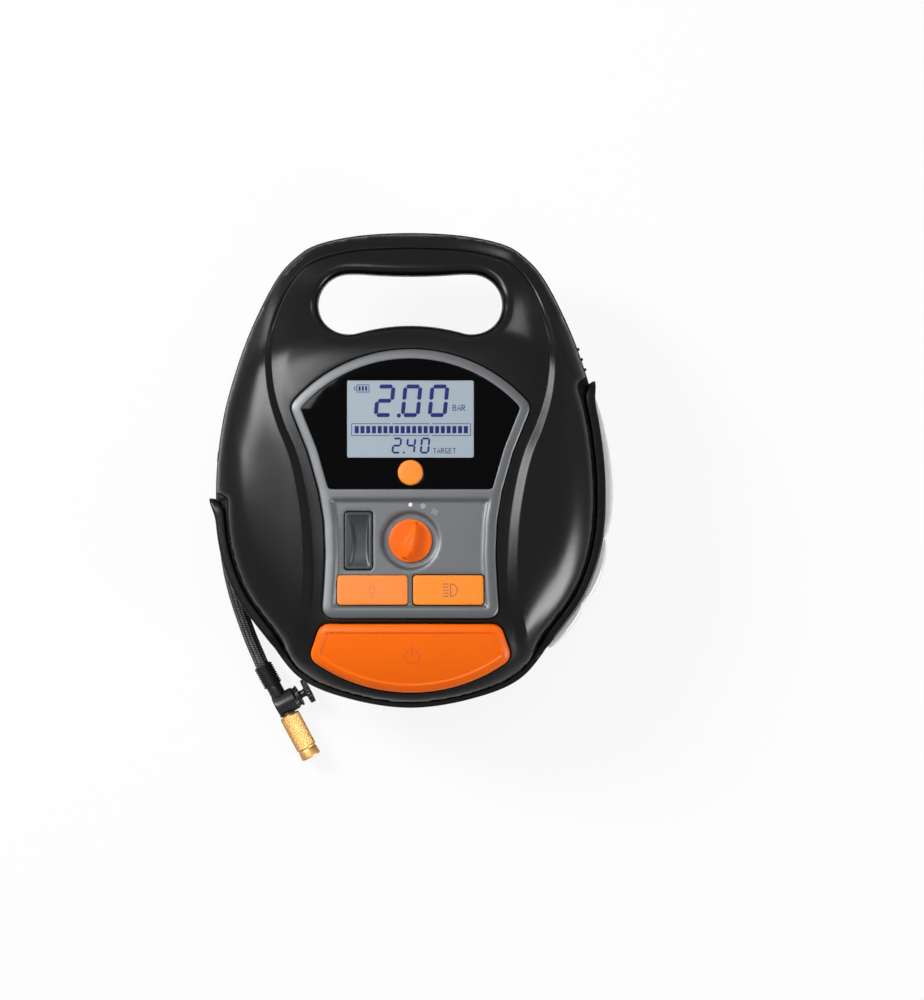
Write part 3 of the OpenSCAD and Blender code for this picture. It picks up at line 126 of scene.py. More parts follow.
def evenly(path, step, closed=False):
    """A path's points spaced evenly, about a step apart, with their distances along it."""
    ends = np.vstack([path, path[:1]]) if closed else path
    done = np.concatenate([[0], np.cumsum(lengths(np.diff(ends, axis=0)))])
    count = max(8, int(done[-1] / step)) if closed else int(done[-1] / step) + 1
    at = np.linspace(0, done[-1], count, endpoint=not closed)
    return np.stack([np.interp(at, done, column) for column in ends.T], axis=1), at


def ring_faces(rings, sides):
    """Faces between rings of that many points, with a cap on each end."""
    faces = []
    for k in range(rings - 1):
        for s in range(sides):
            a, b = k * sides + s, k * sides + (s + 1) % sides
            faces.append((a, b, b + sides, a + sides))
    faces.append(tuple(range(sides - 1, -1, -1)))
    faces.append(tuple((rings - 1) * sides + s for s in range(sides)))
    return faces


def ring(centre, side, up, sides, radius):
    """Points round a centre; radius(angle) is their distance from it."""
    angles = [2 * math.pi * s / sides for s in range(sides)]
    return [centre + radius(a) * (math.cos(a) * side + math.sin(a) * up) for a in angles]


def sweep(path, radius, sides):
    """Points and faces of a tube round a path; radius(k, angle) is its radius at a path point."""
    points = []
    for k, p in enumerate(path):
        along = normal(path[min(k + 1, len(path) - 1)] - path[max(k - 1, 0)])
        side = normal(np.cross(along, (0, 0.05, 1)))
        points += ring(p, side, np.cross(side, along), sides, lambda a: radius(k, a))
    return points, ring_faces(len(path), sides)


# Materials -----
CLOUD_SCALE = 60
# colour, roughness, metallic, size and depth of the grain in mm, unevenness of the roughness,
# mottling of the colour, and specular level where it isn't the usual one
FINISHES = {
    "casing_black": ((0.0032, 0.003, 0.0036), 0.25, 0, (0.9, 0.05), 0.12, 0.1, 0.14),
    "trim_black": ((0.0035, 0.0035, 0.004), 0.27, 0, (0.9, 0.01), 0.15, 0, 0.11),
    "feet_rubber": ((0.009, 0.009, 0.009), 0.7, 0, (0.3, 0.03), 0, 0.2, 0.2),
    "steel": ((0.55, 0.55, 0.56), 0.3, 1, (0.4, 0.006), 0.3, 0),
    "cast_alloy": ((0.5, 0.51, 0.53), 0.45, 1, (0.8, 0.05), 0.2, 0),
    "lens_milky": ((0.88, 0.88, 0.9), 0.3, 0, (2.5, 0.02), 0.2, 0),
    "white_plastic": ((0.78, 0.78, 0.77), 0.4, 0, (0.5, 0.01), 0, 0.03),
    "panel_grey": ((0.068, 0.073, 0.079), 0.42, 0.25, (0.35, 0.012), 0.12, 0.06),
    "window_black": ((0.0009, 0.0008, 0.0012), 0.09, 0, (30, 0.03), 0.2, 0, 0.035),
    "lcd_face": ((0.33, 0.395, 0.45), 0.35, 0, (0.25, 0.002), 0, 0.015, 0.2),
    "lcd_ink": ((0.012, 0.012, 0.13), 0.4, 0, (0.3, 0.002), 0, 0.1, 0.1),
    "key_orange": ((0.97, 0.28, 0.03), 0.42, 0, (0.35, 0.01), 0.1, 0.03, 0.1),
    "cover_orange": ((0.95, 0.26, 0.045), 0.42, 0, (0.35, 0.01), 0.1, 0.03, 0.15),
    "power_orange": ((0.99, 0.155, 0.005), 0.34, 0, (0.4, 0.012), 0.1, 0.03, 0.08),
    "symbol_brown": ((0.22, 0.05, 0.012), 0.5, 0, (0.3, 0.01), 0, 0.1),
    "faint_print": ((0.22, 0.235, 0.25), 0.5, 0, (0.3, 0.004), 0, 0.04),
    "cover_mark": ((0.62, 0.17, 0.04), 0.5, 0, (0.3, 0.01), 0, 0.1),
    "power_mark": ((0.62, 0.08, 0.008), 0.5, 0, (0.3, 0.01), 0, 0.1),
    "rocker_grey": ((0.022, 0.026, 0.031), 0.36, 0, (0.4, 0.01), 0.1, 0, 0.25),
    "board_green": ((0.012, 0.09, 0.035), 0.35, 0, (1.2, 0.03), 0, 0.3),
    "cell_wrap": ((0.02, 0.1, 0.36), 0.3, 0, (4, 0.02), 0, 0.15),
    "inner_black": ((0.02, 0.02, 0.021), 0.5, 0, (0.6, 0.03), 0.15, 0),
    "nylon": ((0.72, 0.69, 0.6), 0.45, 0, (0.7, 0.02), 0, 0.05),
    "hose_weave": ((0.006, 0.006, 0.007), 0.3, 0, (0.22, 0.05), 0, 0, 0.25),
    "fitting_black": ((0.009, 0.009, 0.01), 0.33, 0, (0.5, 0.02), 0.15, 0, 0.2),
    "brass": ((0.41, 0.235, 0.085), 0.52, 1, (0.3, 0.008), 0.25, 0.1),
}
# Colours of the pale dashes painted on the hose's braid as its highlights
BRAID_HIGHLIGHT_COLOURS = (0.22, 0.22, 0.23, 1), (0.12, 0.12, 0.125, 1)


def with_values(node, **values):
    """The shader node with values for its inputs."""
    for socket, value in values.items():
        node.inputs[socket.replace("_", " ")].default_value = value
    return node


def add_node(tree, kind, **values):
    return with_values(tree.nodes.new("ShaderNode" + kind), **values)


def surface(name, colour, rough, metallic, grain, uneven, mottled, specular=0.5):
    """A principled material with the values of a row of FINISHES."""
    material = bpy.data.materials.new(name)
    material.use_nodes = True
    tree, link = material.node_tree, material.node_tree.links.new
    shader = with_values(tree.nodes["Principled BSDF"], Base_Color=(*colour, 1), Roughness=rough,
                         Metallic=metallic, Specular_IOR_Level=specular)
    place = add_node(tree, "TexCoord").outputs["Object"]
    noise = add_node(tree, "TexNoise", Scale=1 / (grain[0] * MM), Detail=3)
    bump = add_node(tree, "Bump", Distance=grain[1] * MM, Strength=1)
    link(place, noise.inputs["Vector"])
    link(noise.outputs["Fac"], bump.inputs["Height"])
    link(bump.outputs["Normal"], shader.inputs["Normal"])
    if uneven or mottled:
        cloud = add_node(tree, "TexNoise", Scale=CLOUD_SCALE, Detail=4)
        link(place, cloud.inputs["Vector"])
    if uneven:
        spread = add_node(tree, "MapRange", To_Min=rough * (1 - uneven), To_Max=rough * (1 + uneven))
        link(cloud.outputs["Fac"], spread.inputs["Value"])
        link(spread.outputs["Result"], shader.inputs["Roughness"])
    if mottled:
        ramp = add_node(tree, "ValToRGB")
        for end, share in zip(ramp.color_ramp.elements, (1 - mottled, 1 + mottled)):
            end.color = (*[min(1, c * share) for c in colour], 1)
        link(cloud.outputs["Fac"], ramp.inputs["Fac"])
        link(ramp.outputs["Color"], shader.inputs["Base Color"])
    return material


def braid(material):
    """Painted highlights on a hose's braid: pale dashes in its colour, laid out by its UV map: x along it in
    dashes, y round it in rows.
    """
    tree = material.node_tree
    base = tree.nodes["Principled BSDF"].inputs["Base Color"]
    highlight_dashes = add_node(tree, "TexBrick", Color1=BRAID_HIGHLIGHT_COLOURS[0], Color2=BRAID_HIGHLIGHT_COLOURS[1],
                     Mortar=base.default_value, Scale=1, Mortar_Size=0.3, Mortar_Smooth=0.3,
                     Brick_Width=1, Row_Height=1)
    tree.links.new(add_node(tree, "TexCoord").outputs["UV"], highlight_dashes.inputs["Vector"])
    tree.links.new(highlight_dashes.outputs["Color"], base)


def make_materials():
    made = {name: surface(name, *finish) for name, finish in FINISHES.items()}
    with_values(made["lens_milky"].node_tree.nodes["Principled BSDF"], Transmission_Weight=0.15, IOR=1.45)
    braid(made["hose_weave"])
    return made


MATERIALS = make_materials()
# Slots of the record whose finish has another name, and nodes that don't take their slot's finish
SLOT_FINISHES = {"lens_clear": "lens_milky", "lcd_dark": "lcd_ink", "alloy": "cast_alloy",
                 "hose_braid": "hose_weave"}
NODE_FINISHES = {"usb_cover_pin": "panel_grey", "rocker_pin": "inner_black"}


def dress_nodes():
    for part in frame["record"]["subparts"]:
        node = frame["nodes"][part["node"]]
        node.data.materials.clear()
        slot = part["material_slot"]
        finish = NODE_FINISHES.get(part["node"], SLOT_FINISHES.get(slot, slot))
        node.data.materials.append(MATERIALS[finish])


dress_nodes()


# Air hose -----
HOSE_D = 9 * MM
HOSE_FREE = [
    (-108.75, -16.45, 17), (-110.6, -30, 17), (-112.3, -45, 16.2), (-110.6, -60, 14.6),
    (-107.3, -75, 12), (-102.7, -90, 9.4), (-97.2, -105, 8), (-90.7, -119.8, 7.9),
]
WEAVE_PITCH = 6.5 * MM
WEAVE_STRANDS = 16
WEAVE_DEPTH = 0.32 * MM
WEAVE_OVER = 0.4
# Length, and rows round the hose, of the pale dashes painted on as the braid's highlights
DASH = 1.5 * MM
HIGHLIGHT_ROWS = 12
FITTING_AT = np.array(HOSE_FREE[-1], float)
FITTING_TURN = math.radians(-61.8)
OUT = np.array([math.cos(FITTING_TURN), math.sin(FITTING_TURN), 0])


def weave(distance, angle):
    """Height of two crossing families of strands that pass over and under each other."""
    turn = angle * WEAVE_STRANDS / (2 * math.pi)
    step = distance / WEAVE_PITCH * 4
    a, b = turn + step, turn - step
    over = WEAVE_OVER * math.cos(math.pi * (a + b)) * math.cos(math.pi * (a - b))
    middle = 1 - WEAVE_OVER
    first = abs(math.sin(math.pi * a)) * (middle + over)
    second = abs(math.sin(math.pi * b)) * (middle - over)
    return max(first, second) - middle


def woven_hose(name, path, node, sides, spacing):
    """A woven hose round a path in millimetres, its path in metres and its length."""
    path, at = evenly(np.array(path) * MM, spacing)
    middle = HOSE_D / 2 - WEAVE_DEPTH
    points, faces = sweep(path, lambda k, a: middle + WEAVE_DEPTH * weave(at[k], a), sides)
    piece = new_piece(name, points, faces, "casing", "hose_weave", [node], sharp=60)
    layout = piece.data.uv_layers.new(name="braid")
    for face in piece.data.polygons:
        spots = [divmod(k, sides) for k in face.vertices]
        wraps = max(s for _, s in spots) - min(s for _, s in spots) > sides / 2
        for corner, (k, s) in zip(face.loop_indices, spots):
            turn = (s + sides * (wraps and s == 0)) / sides
            layout.data[corner].uv = (at[k] / DASH, turn * HIGHLIGHT_ROWS)
    return piece, path, at[-1]


def free_route():
    """The free hose's path, straight for its last stretch into the ferrule."""
    return np.vstack([smooth_path(HOSE_FREE, 12)[:-5], FITTING_AT - 2.05 * OUT, FITTING_AT - 0.05 * OUT])


hose, hose_path, hose_length = woven_hose("hose_weave", free_route(), "hose_free", 96, 0.45 * MM)


# Outlines, in millimetres as in the part's source -----
BODY_W, BODY_TOP, BODY_BOTTOM = 232, 141.5, 142
HALF_SHAPE = [
    (0, 1), (0.26, 0.989), (0.465, 0.955), (0.577, 0.905), (0.69, 0.803),
    (0.815, 0.602), (0.905, 0.4), (0.968, 0.195), (1, -0.056), (0.983, -0.31),
    (0.897, -0.522), (0.738, -0.705), (0.565, -0.877), (0.31, -0.963), (0, -1),
]
LAST = len(HALF_SHAPE) - 1
CENTRE = np.array([0.0, -8.0])
Z_SEAM, Z_CROWN, Z_PANEL, Z_FIELD = 62, 102, 101.2, 99.8
MIRROR = np.array([-1.0, 1.0])


def knots():
    """The outline's knots in millimetres, with one more past each end."""
    sized = [(x * BODY_W / 2, y * (BODY_TOP if y > 0 else BODY_BOTTOM)) for x, y in HALF_SHAPE]
    before = (-sized[1][0], sized[1][1])
    after = (-sized[-2][0], sized[-2][1])
    return np.array([before, *sized, after])


KNOTS = knots()


def rim(i):
    """The outline's right side, with i counted in knots from the top to the bottom."""
    i = np.atleast_1d(np.asarray(i, float))
    k = np.minimum(np.floor(i).astype(int), LAST - 1)
    t = (i - k)[:, None]
    return spline(KNOTS[k], KNOTS[k + 1], KNOTS[k + 2], KNOTS[k + 3], t)


def rim_normal(i):
    """The way out of the outline at i."""
    return left_of(rim(np.minimum(i + 0.02, LAST)) - rim(np.maximum(i - 0.02, 0)))


def rim_off(i, off):
    return rim(i) + rim_normal(i) * np.reshape(off, (-1, 1))


def rim_at(y):
    """Place on the outline, in knots, where its right side has the height y."""
    low, high = 0.0, float(LAST)
    while high - low > 0.001:
        mid = (low + high) / 2
        low, high = (mid, high) if rim(mid)[0][1] > y else (low, mid)
    return low


def ease(x):
    t = np.clip(x, 0, 1)
    return t * t * (3 - 2 * t)


def on_handle(y):
    """0 on the body, 1 on the handle."""
    return ease((y - HANDLE_LOW_Y) / HANDLE_BLEND)


RIM_COUNT = 240
HANDLE_LOW_Y, HANDLE_BLEND = 60, 40
GUARD_RIGHT_Y, GUARD_LEFT_Y, GUARD_LOW_Y = 52, -17, -108
SEAM_IN, VALLEY_IN, LOW_IN = 0.6, 6.4, 3.4


def front_edge():
    """The front shell's edge: full at the handle, stepped in along the guards."""
    i = np.linspace(0, LAST, RIM_COUNT)

    def inset(top_y):
        y = rim(i)[:, 1]
        return (SEAM_IN + (VALLEY_IN - SEAM_IN) * ease((top_y + 4 - y) / 5)
                - (VALLEY_IN - LOW_IN) * ease((GUARD_LOW_Y + 4 - y) / 14))
    right = rim_off(i, -inset(GUARD_RIGHT_Y))
    left = rim_off(i, -inset(GUARD_LEFT_Y)) * MIRROR
    return both_sides(right, left)


def both_sides(right, left):
    """One loop of the right side and the left, each from the top to the bottom."""
    return np.vstack([right[:-1], left[::-1][:-1]])


def polar_reach(loop):
    """Distance from the centre to a loop, as a function of the direction."""
    v = loop - CENTRE
    angle = np.arctan2(v[:, 1], v[:, 0])
    order = np.argsort(angle)
    angle, reach = angle[order], lengths(v)[order]
    angle = np.concatenate([angle[-3:] - 2 * np.pi, angle, angle[:3] + 2 * np.pi])
    reach = np.concatenate([reach[-3:], reach, reach[:3]])
    return lambda p: np.interp(np.arctan2(p[:, 1] - CENTRE[1], p[:, 0] - CENTRE[0]), angle, reach)


FALL_FROM_Y, FALL_LENGTH, Z_HANDLE = 56, 64, 84


def front_top(y):
    """The dome's highest level at y, which falls from the crown to the handle."""
    t = np.clip((y - FALL_FROM_Y) / FALL_LENGTH, 0, 1)
    return Z_CROWN - (Z_CROWN - Z_HANDLE) * t**3 * (10 - 15 * t + 6 * t * t)


def soft_reach(loop, extra, spread=14):
    """polar_reach of a loop, moved out by extra and with its steps below the handle spread over
    that many degrees."""
    turn = np.radians(np.arange(360))
    way = np.column_stack([np.cos(turn), np.sin(turn)])
    own = polar_reach(loop)(CENTRE + way)
    reach = own
    for _ in range(spread**2 * 2):
        reach = 0.5 * reach + 0.25 * (np.roll(reach, 1) + np.roll(reach, -1))
    reach = reach + (own - reach) * on_handle(CENTRE[1] + way[:, 1] * own)
    return polar_reach(CENTRE + way * (reach + extra)[:, None])


def lower_of(a, b, blend):
    """The lower of two heights, with a soft change from one to the other."""
    share = np.clip(0.5 + 0.5 * (b - a) / blend, 0, 1)
    return b + (a - b) * share - blend * share * (1 - share)


FRONT_EDGE = front_edge()
DOME_REACH = soft_reach(FRONT_EDGE, 3.3)
ROLL_W, ROLL_H, ROLL_BLEND = 11, 36, 7
DOME_OUT, DOME_UP = 4.2, 2.2


def crown(p, depth):
    """Level of the front shell's dome at points of the plan that lie that deep inside its edge."""
    t = np.clip(lengths(p - CENTRE) / DOME_REACH(p), 0, 1)
    dome = Z_SEAM + (front_top(p[:, 1]) - Z_SEAM) * (1 - t**DOME_OUT)**(1 / DOME_UP)
    roll = Z_SEAM + ROLL_H * np.sqrt(1 - (1 - np.clip(depth / ROLL_W, 0, 1))**2)
    return np.maximum(lower_of(dome, roll, ROLL_BLEND), Z_SEAM)


# Plan geometry -----
def area(loop):
    """A loop's area, positive if it runs counter-clockwise."""
    x, y = loop[:, 0], loop[:, 1]
    return 0.5 * np.sum(x * np.roll(y, -1) - y * np.roll(x, -1))


def level_loops(node, level):
    """Outlines of a CAD node's flat faces at a height, largest first."""
    mesh = frame["nodes"][node].data
    points = [v.co / MM for v in mesh.vertices]
    edges = set()
    for face in mesh.polygons:
        if all(abs(points[k].z - level) < 0.02 for k in face.vertices):
            corners = [(round(points[k].x, 2), round(points[k].y, 2)) for k in face.vertices]
            for a, b in zip(corners, corners[1:] + corners[:1]):
                if (b, a) in edges:
                    edges.remove((b, a))
                else:
                    edges.add((a, b))
    after = dict(edges)
    loops = []
    while after:
        start, point = next(iter(after.items()))
        loop = [start]
        while point != start and point in after:
            loop.append(point)
            point = after.pop(point)
        after.pop(start, None)
        if len(loop) > 2:
            loops.append(np.array(loop))
    loops = [loop if area(loop) > 0 else loop[::-1] for loop in loops]
    return sorted(loops, key=area, reverse=True)


def loop_round(node, level, spot):
    """The smallest outline at that height that runs round a spot."""
    loops = level_loops(node, level)
    return [loop for loop in loops if inside(np.array([spot], float), loop)[0]][-1]


def softened(loop, step, rounds):
    """The loop with its points spaced evenly and its corners smoothed."""
    loop = evenly(loop, step, True)[0]
    for _ in range(rounds):
        loop = 0.5 * loop + 0.25 * (np.roll(loop, 1, 0) + np.roll(loop, -1, 0))
    return loop


def inward(loop, d):
    """The loop moved to its left by d: into it if it runs counter-clockwise."""
    return loop + d * left_of(unit(np.roll(loop, -1, 0) - loop) + unit(loop - np.roll(loop, 1, 0)))


def inside(p, loop):
    """Whether each point lies inside the loop."""
    hit = np.zeros(len(p), bool)
    for (x0, y0), (x1, y1) in zip(loop, np.roll(loop, -1, 0)):
        if y0 != y1:
            cross = (p[:, 1] < y0) != (p[:, 1] < y1)
            hit ^= cross & (p[:, 0] < x0 + (x1 - x0) * (p[:, 1] - y0) / (y1 - y0))
    return hit


def distance(p, line, closed=True):
    """Distance from each point to a line of segments."""
    ends = np.roll(line, -1, 0) if closed else line[1:]
    starts = line if closed else line[:-1]
    best = np.full(len(p), 1e9)
    for a, b in zip(starts, ends):
        d = b - a
        t = np.clip((p - a) @ d / max(d @ d, 1e-12), 0, 1)
        best = np.minimum(best, lengths(p - a - t[:, None] * d))
    return best


def depth_in(p, loop):
    """Distance to the loop, positive inside it."""
    return np.where(inside(p, loop), 1, -1) * distance(p, loop)


def in_shape(p, outer, holes):
    """Whether each point lies inside the outer loop and outside the holes."""
    kept = inside(p, outer)
    for hole in holes:
        kept &= ~inside(p, hole)
    return kept


def hex_grid(loop, step):
    """Staggered rows of points over a loop's box."""
    low, high = loop.min(0), loop.max(0)
    grid = []
    for k, y in enumerate(np.arange(low[1], high[1], step * 0.866)):
        x = np.arange(low[0] + (k % 2) * step / 2, high[0], step)
        grid.append(np.stack([x, np.full(len(x), y)], axis=1))
    return np.vstack(grid)


CLEAR_OF_EDGE, LINE_CLOSER = 0.45, 0.15
LEAST_THICK = 0.05


def relief(name, outer, height, step, body, material, nodes=(), holes=(), rings=(), lines=(),
           round_r=0.6, floor=0, sharp=40, round_steps=4):
    """A solid slab with a modelled top: height(points) is its level and floor that of its underside.
    Its edges are rounded by round_r, and each hole is a loop with its own radius. rings and lines
    are closed and open lines that the mesh follows."""
    loops, drops = [], []
    for loop, radius, way in [(outer, round_r, 1)] + [(hole, r, -1) for hole, r in holes]:
        for a in np.linspace(0, math.pi / 2, round_steps + 1) if radius else [math.pi / 2]:
            loops.append(inward(loop, way * radius * (1 - math.cos(a))) if radius else loop)
            drops.append(radius * (1 - math.sin(a)))
    holes = [hole for hole, _ in holes]
    edges_n = len(loops)
    closed_n = edges_n + len(rings)
    drops += [0] * (len(rings) + len(lines))
    loops += [*rings, *lines]
    grid = hex_grid(outer, step)
    grid = grid[in_shape(grid, outer, holes)]
    near = np.full(len(grid), 1e9)
    for k, loop in enumerate(loops):
        closer = step * LINE_CLOSER if k >= edges_n else 0
        near = np.minimum(near, distance(grid, loop, k < closed_n) + closer)
    grid = grid[near > step * CLEAR_OF_EDGE]
    plan = np.vstack(loops + [grid])
    drop = np.concatenate([np.full(len(loop), d) for loop, d in zip(loops, drops)] + [np.zeros(len(grid))])
    edges, start = [], 0
    for k, loop in enumerate(loops):
        n = len(loop)
        edges += [(start + s, start + (s + 1) % n) for s in range(n if k < closed_n else n - 1)]
        start += n
    out = delaunay_2d_cdt([Vector(p) for p in plan], edges, [], 0, 1e-5)
    spots = np.array([tuple(v) for v in out[0]])
    source = np.array([ids[0] if ids else -1 for ids in out[3]])
    faces = np.array(out[2])
    faces = faces[in_shape(spots[faces].mean(axis=1), outer, holes)]
    z = height(spots) - np.where(source >= 0, drop[source], 0)
    top = np.column_stack([spots, z])
    under = np.column_stack([spots, np.minimum(float(floor), z - LEAST_THICK)])
    a, b, c = (spots[faces[:, k]] for k in range(3))
    clockwise = np.cross(b - a, c - a) < 0
    faces[clockwise] = faces[clockwise][:, ::-1]
    count = len(top)
    sides = [(f[k], f[(k + 1) % 3]) for f in faces.tolist() for k in range(3)]
    shared = set(sides)
    walls = [(b, a, a + count, b + count) for a, b in sides if (b, a) not in shared]
    all_faces = [tuple(f) for f in faces] + [tuple(f[::-1] + count) for f in faces] + walls
    return new_piece(name, np.vstack([top, under]) * MM, all_faces, body, material, nodes, sharp)


def step_down(depth, drop, width):
    """A rounded step: 0 outside a recess, -drop once it is deeper in than the width."""
    return -drop * ease(depth / width)


# Front shell -----
CHEEK_LINE = [
    (0, 131.6), (28, 130.4), (47, 127), (62, 120.5), (73.5, 106), (80.5, 88.5), (83.2, 73), (83.2, 57.5),
    (80.8, 42), (75.8, 26), (69.4, 10.5), (64.8, -7), (61, -32), (59.8, -62), (62, -82), (67.5, -104),
    (73.5, -116),
]
CHEEK = smooth_path(CHEEK_LINE, 10)
CHEEK_ZONE = np.vstack([CHEEK, [(60, -170), (0, -170)]])
CHEEK_ZONE = np.vstack([CHEEK_ZONE, (CHEEK_ZONE * MIRROR)[::-1]])
RAISED, SUNK, GROOVE_DEPTH, GROOVE_HALF = 1.7, 1.0, 1.1, 0.6


def cheek_width(y):
    """Width of the step at the cheek's edge."""
    return np.interp(y, [-104, -40, 20, 70, 110, 131], [6.6, 5.2, 4.2, 3.4, 2.6, 2.4])


def front_height(p):
    """Level of the front shell: the dome, raised beside the cheeks' edge, sunk past it and grooved
    along it on the handle."""
    side = np.where(inside(p, CHEEK_ZONE), 1, -1)
    s = side * distance(np.column_stack([np.abs(p[:, 0]), p[:, 1]]), CHEEK, False)
    width = cheek_width(p[:, 1])
    ramp = np.clip(s / width + 0.5, 0, 1)
    ramp = 0.9 * ramp + 0.1 * ease(ramp)
    depth = depth_in(p, FRONT_EDGE)
    edge = ease((depth - 1) / 12)
    handle = on_handle(p[:, 1])
    raised = (RAISED - 1.2 * handle) * ease((s + 26) / 24) * (1 - ramp)
    sunk = (SUNK - 0.7 * handle) * ramp * (1 - 0.75 * ease((s - width) / 9))
    groove = GROOVE_DEPTH * handle * np.exp(-(s / GROOVE_HALF)**2)
    return crown(p, depth) + edge * (raised - sunk - groove)


GRIP = softened(loop_round("front_shell", Z_SEAM, (0, 99)), 1.4, 3)
PANEL = level_loops("control_panel", Z_PANEL)
PANEL_EDGE = softened(PANEL[0], 1.2, 3)
PANEL_HOLE = inward(PANEL_EDGE, -0.35)
POWER = softened(level_loops("power_button", 80)[0], 1.2, 2)
POWER_HOLE = inward(POWER, -0.55)


def cheek_lines():
    """Lines beside the cheek's edge from its left end over the handle to its right end, and lines
    along the groove that it turns into on the handle."""
    n = left_of(np.gradient(CHEEK, axis=0))
    width = cheek_width(CHEEK[:, 1])[:, None]
    lines = [(CHEEK + n * side * width)[3:-14] for side in (-0.6, -0.5, -0.4, 0.4, 0.5, 0.6)]
    lines += [(CHEEK + n * side)[CHEEK[:, 1] > HANDLE_LOW_Y] for side in (-0.7, -0.35, 0, 0.35, 0.7)]
    return [np.vstack([(line * MIRROR)[:0:-1], line[1:]]) for line in lines]


def make_front_shell():
    relief("front_shell_skin", FRONT_EDGE, front_height, 1.8, "casing", "casing_black", ["front_shell"],
           holes=[(GRIP, 6.5), (PANEL_HOLE, 0.8), (POWER_HOLE, 1.0)],
           lines=cheek_lines(),
           rings=[inward(FRONT_EDGE, d) for d in (0.05, 0.2, 0.5, 0.95, 1.6, 2.4, 3.4, 4.6)],
           round_r=0, floor=Z_SEAM, sharp=50, round_steps=6)


make_front_shell()


# Control panel -----
def arc(x, y, r, start, end, count=20):
    a = np.radians(np.linspace(start, end, count))
    return np.stack([x + r * np.cos(a), y + r * np.sin(a)], axis=1)


def circle(x, y, r, count=96):
    return arc(x, y, r, 0, 360, count + 1)[:-1]


def rounded_box(x, y, w, h, r, step=0.8):
    corners = [arc(x + cx * (w / 2 - r), y + cy * (h / 2 - r), r, start, start + 90, 9)
               for cx, cy, start in ((1, 1, 0), (-1, 1, 90), (-1, -1, 180), (1, -1, 270))]
    return evenly(np.vstack(corners), step, True)[0]


KNOB_AT = (0, -41.4)
KNOB_R = 12.6
DISH_R = 17.9
ROCKER_AT, ROCKER_W, ROCKER_L = (-30.4, -41.4), 16.2, 33.7
KEYS_Y, KEY_X, KEY_W, KEY_H = -70.3, 22.25, 41.3, 17.4
WINDOW_HOLE = softened(PANEL[1], 1.0, 3)
FIELD = softened(PANEL[2], 1.0, 6)
FIELD_RAMP = 2.4
MODE_AT, MODE_R = (0, -1.5), 7.3
LCD_Y, LCD_W, LCD_H = 29.8, 74, 45
DISH_DEPTH, DISH_RAMP = 1.3, 2.6
COVER_SEAT = rounded_box(-KEY_X, KEYS_Y - 0.15, KEY_W + 0.9, KEY_H + 1.1, 2.2)
SEAT_DEPTH, SEAT_RAMP = 1.7, 0.35
PANEL_FALL, PANEL_FALL_W = 0.8, 4.5


def panel_height(p):
    z = Z_PANEL - PANEL_FALL * (1 - np.clip(depth_in(p, PANEL_EDGE) / PANEL_FALL_W, 0, 1))**1.5
    z += step_down(depth_in(p, FIELD), Z_PANEL - Z_FIELD, FIELD_RAMP)
    z += step_down(DISH_R - lengths(p - KNOB_AT), DISH_DEPTH, DISH_RAMP)
    return z + step_down(depth_in(p, COVER_SEAT), SEAT_DEPTH, SEAT_RAMP)


def make_panel():
    relief("panel_face", PANEL_EDGE, panel_height, 1.8, "casing", "panel_grey", ["control_panel"],
           holes=[(WINDOW_HOLE, 0.4), (circle(*KNOB_AT, 4.7, 40), 0.2),
                  (rounded_box(*ROCKER_AT, ROCKER_W + 1, ROCKER_L + 1, 2), 0.5),
                  (rounded_box(KEY_X, KEYS_Y, KEY_W + 1, KEY_H + 1, 2), 0.4),
                  (rounded_box(-KEY_X, KEYS_Y - 1.5, 30, 9, 0.5), 0.1)],
           rings=[inward(FIELD, FIELD_RAMP * k / 4) for k in range(5)]
           + [COVER_SEAT, inward(COVER_SEAT, SEAT_RAMP)]
           + [circle(*KNOB_AT, DISH_R - d, 120) for d in (0, 0.6, 1.3, 2, 2.6)],
           round_r=0.9, floor=89.7)
    relief("window_glass", inward(WINDOW_HOLE, 0.2), lambda p: np.full(len(p), 100.6), 6, "casing",
           "window_black", ["display_window"], round_r=0.3, floor=98.8,
           holes=[(rounded_box(0, LCD_Y, LCD_W + 0.3, LCD_H + 0.3, 0.4, 2), 0.1),
                  (circle(*MODE_AT, MODE_R + 0.35, 72), 0.25)])


make_panel()


# Controls -----
def turned(name, profile, centre, axis, body, material, nodes=(), count=72, sharp=35,
           shape=lambda r, d, a: r):
    """A piece turned round an axis; profile is (radius, distance along the axis) pairs, and shape
    gives the radius at an angle."""
    axis = normal(np.array(axis, float))
    side = normal(np.cross(axis, (0, 0, 1) if abs(axis[2]) < 0.9 else (0, 1, 0)))
    up = np.cross(axis, side)
    points = []
    for r, d in profile:
        points += ring(np.array(centre) + axis * d, side, up, count, lambda a: shape(r, d, a))
    faces = ring_faces(len(profile), count)
    return new_piece(name, np.array(points) * MM, faces, body, material, nodes, sharp)


def bend(start, corner, end, steps):
    """A curve that rounds a corner."""
    ts = [s / steps for s in range(steps + 1)]
    return [(1 - t)**2 * start + 2 * t * (1 - t) * corner + t * t * end for t in ts]


def rounded_profile(parts, r=0.5, steps=4):
    """Profile through (radius, distance) corners with each outer corner rounded by r."""
    pts = [np.array(p, float) for p in parts]
    made = [pts[0]]
    for a, b, c in zip(pts, pts[1:], pts[2:]):
        u, v = a - b, c - b
        lu, lv = np.linalg.norm(u), np.linalg.norm(v)
        cut = min(r, lu / 2.01, lv / 2.01)
        made += bend(b + u / max(lu, 1e-9) * cut, b, b + v / max(lv, 1e-9) * cut, steps)
    made.append(pts[-1])
    return made


def turned_plan(points, centre, angle):
    """Points turned about their origin and moved to the centre."""
    c, s = math.cos(angle), math.sin(angle)
    return np.array(points) @ [(c, s), (-s, c)] + centre


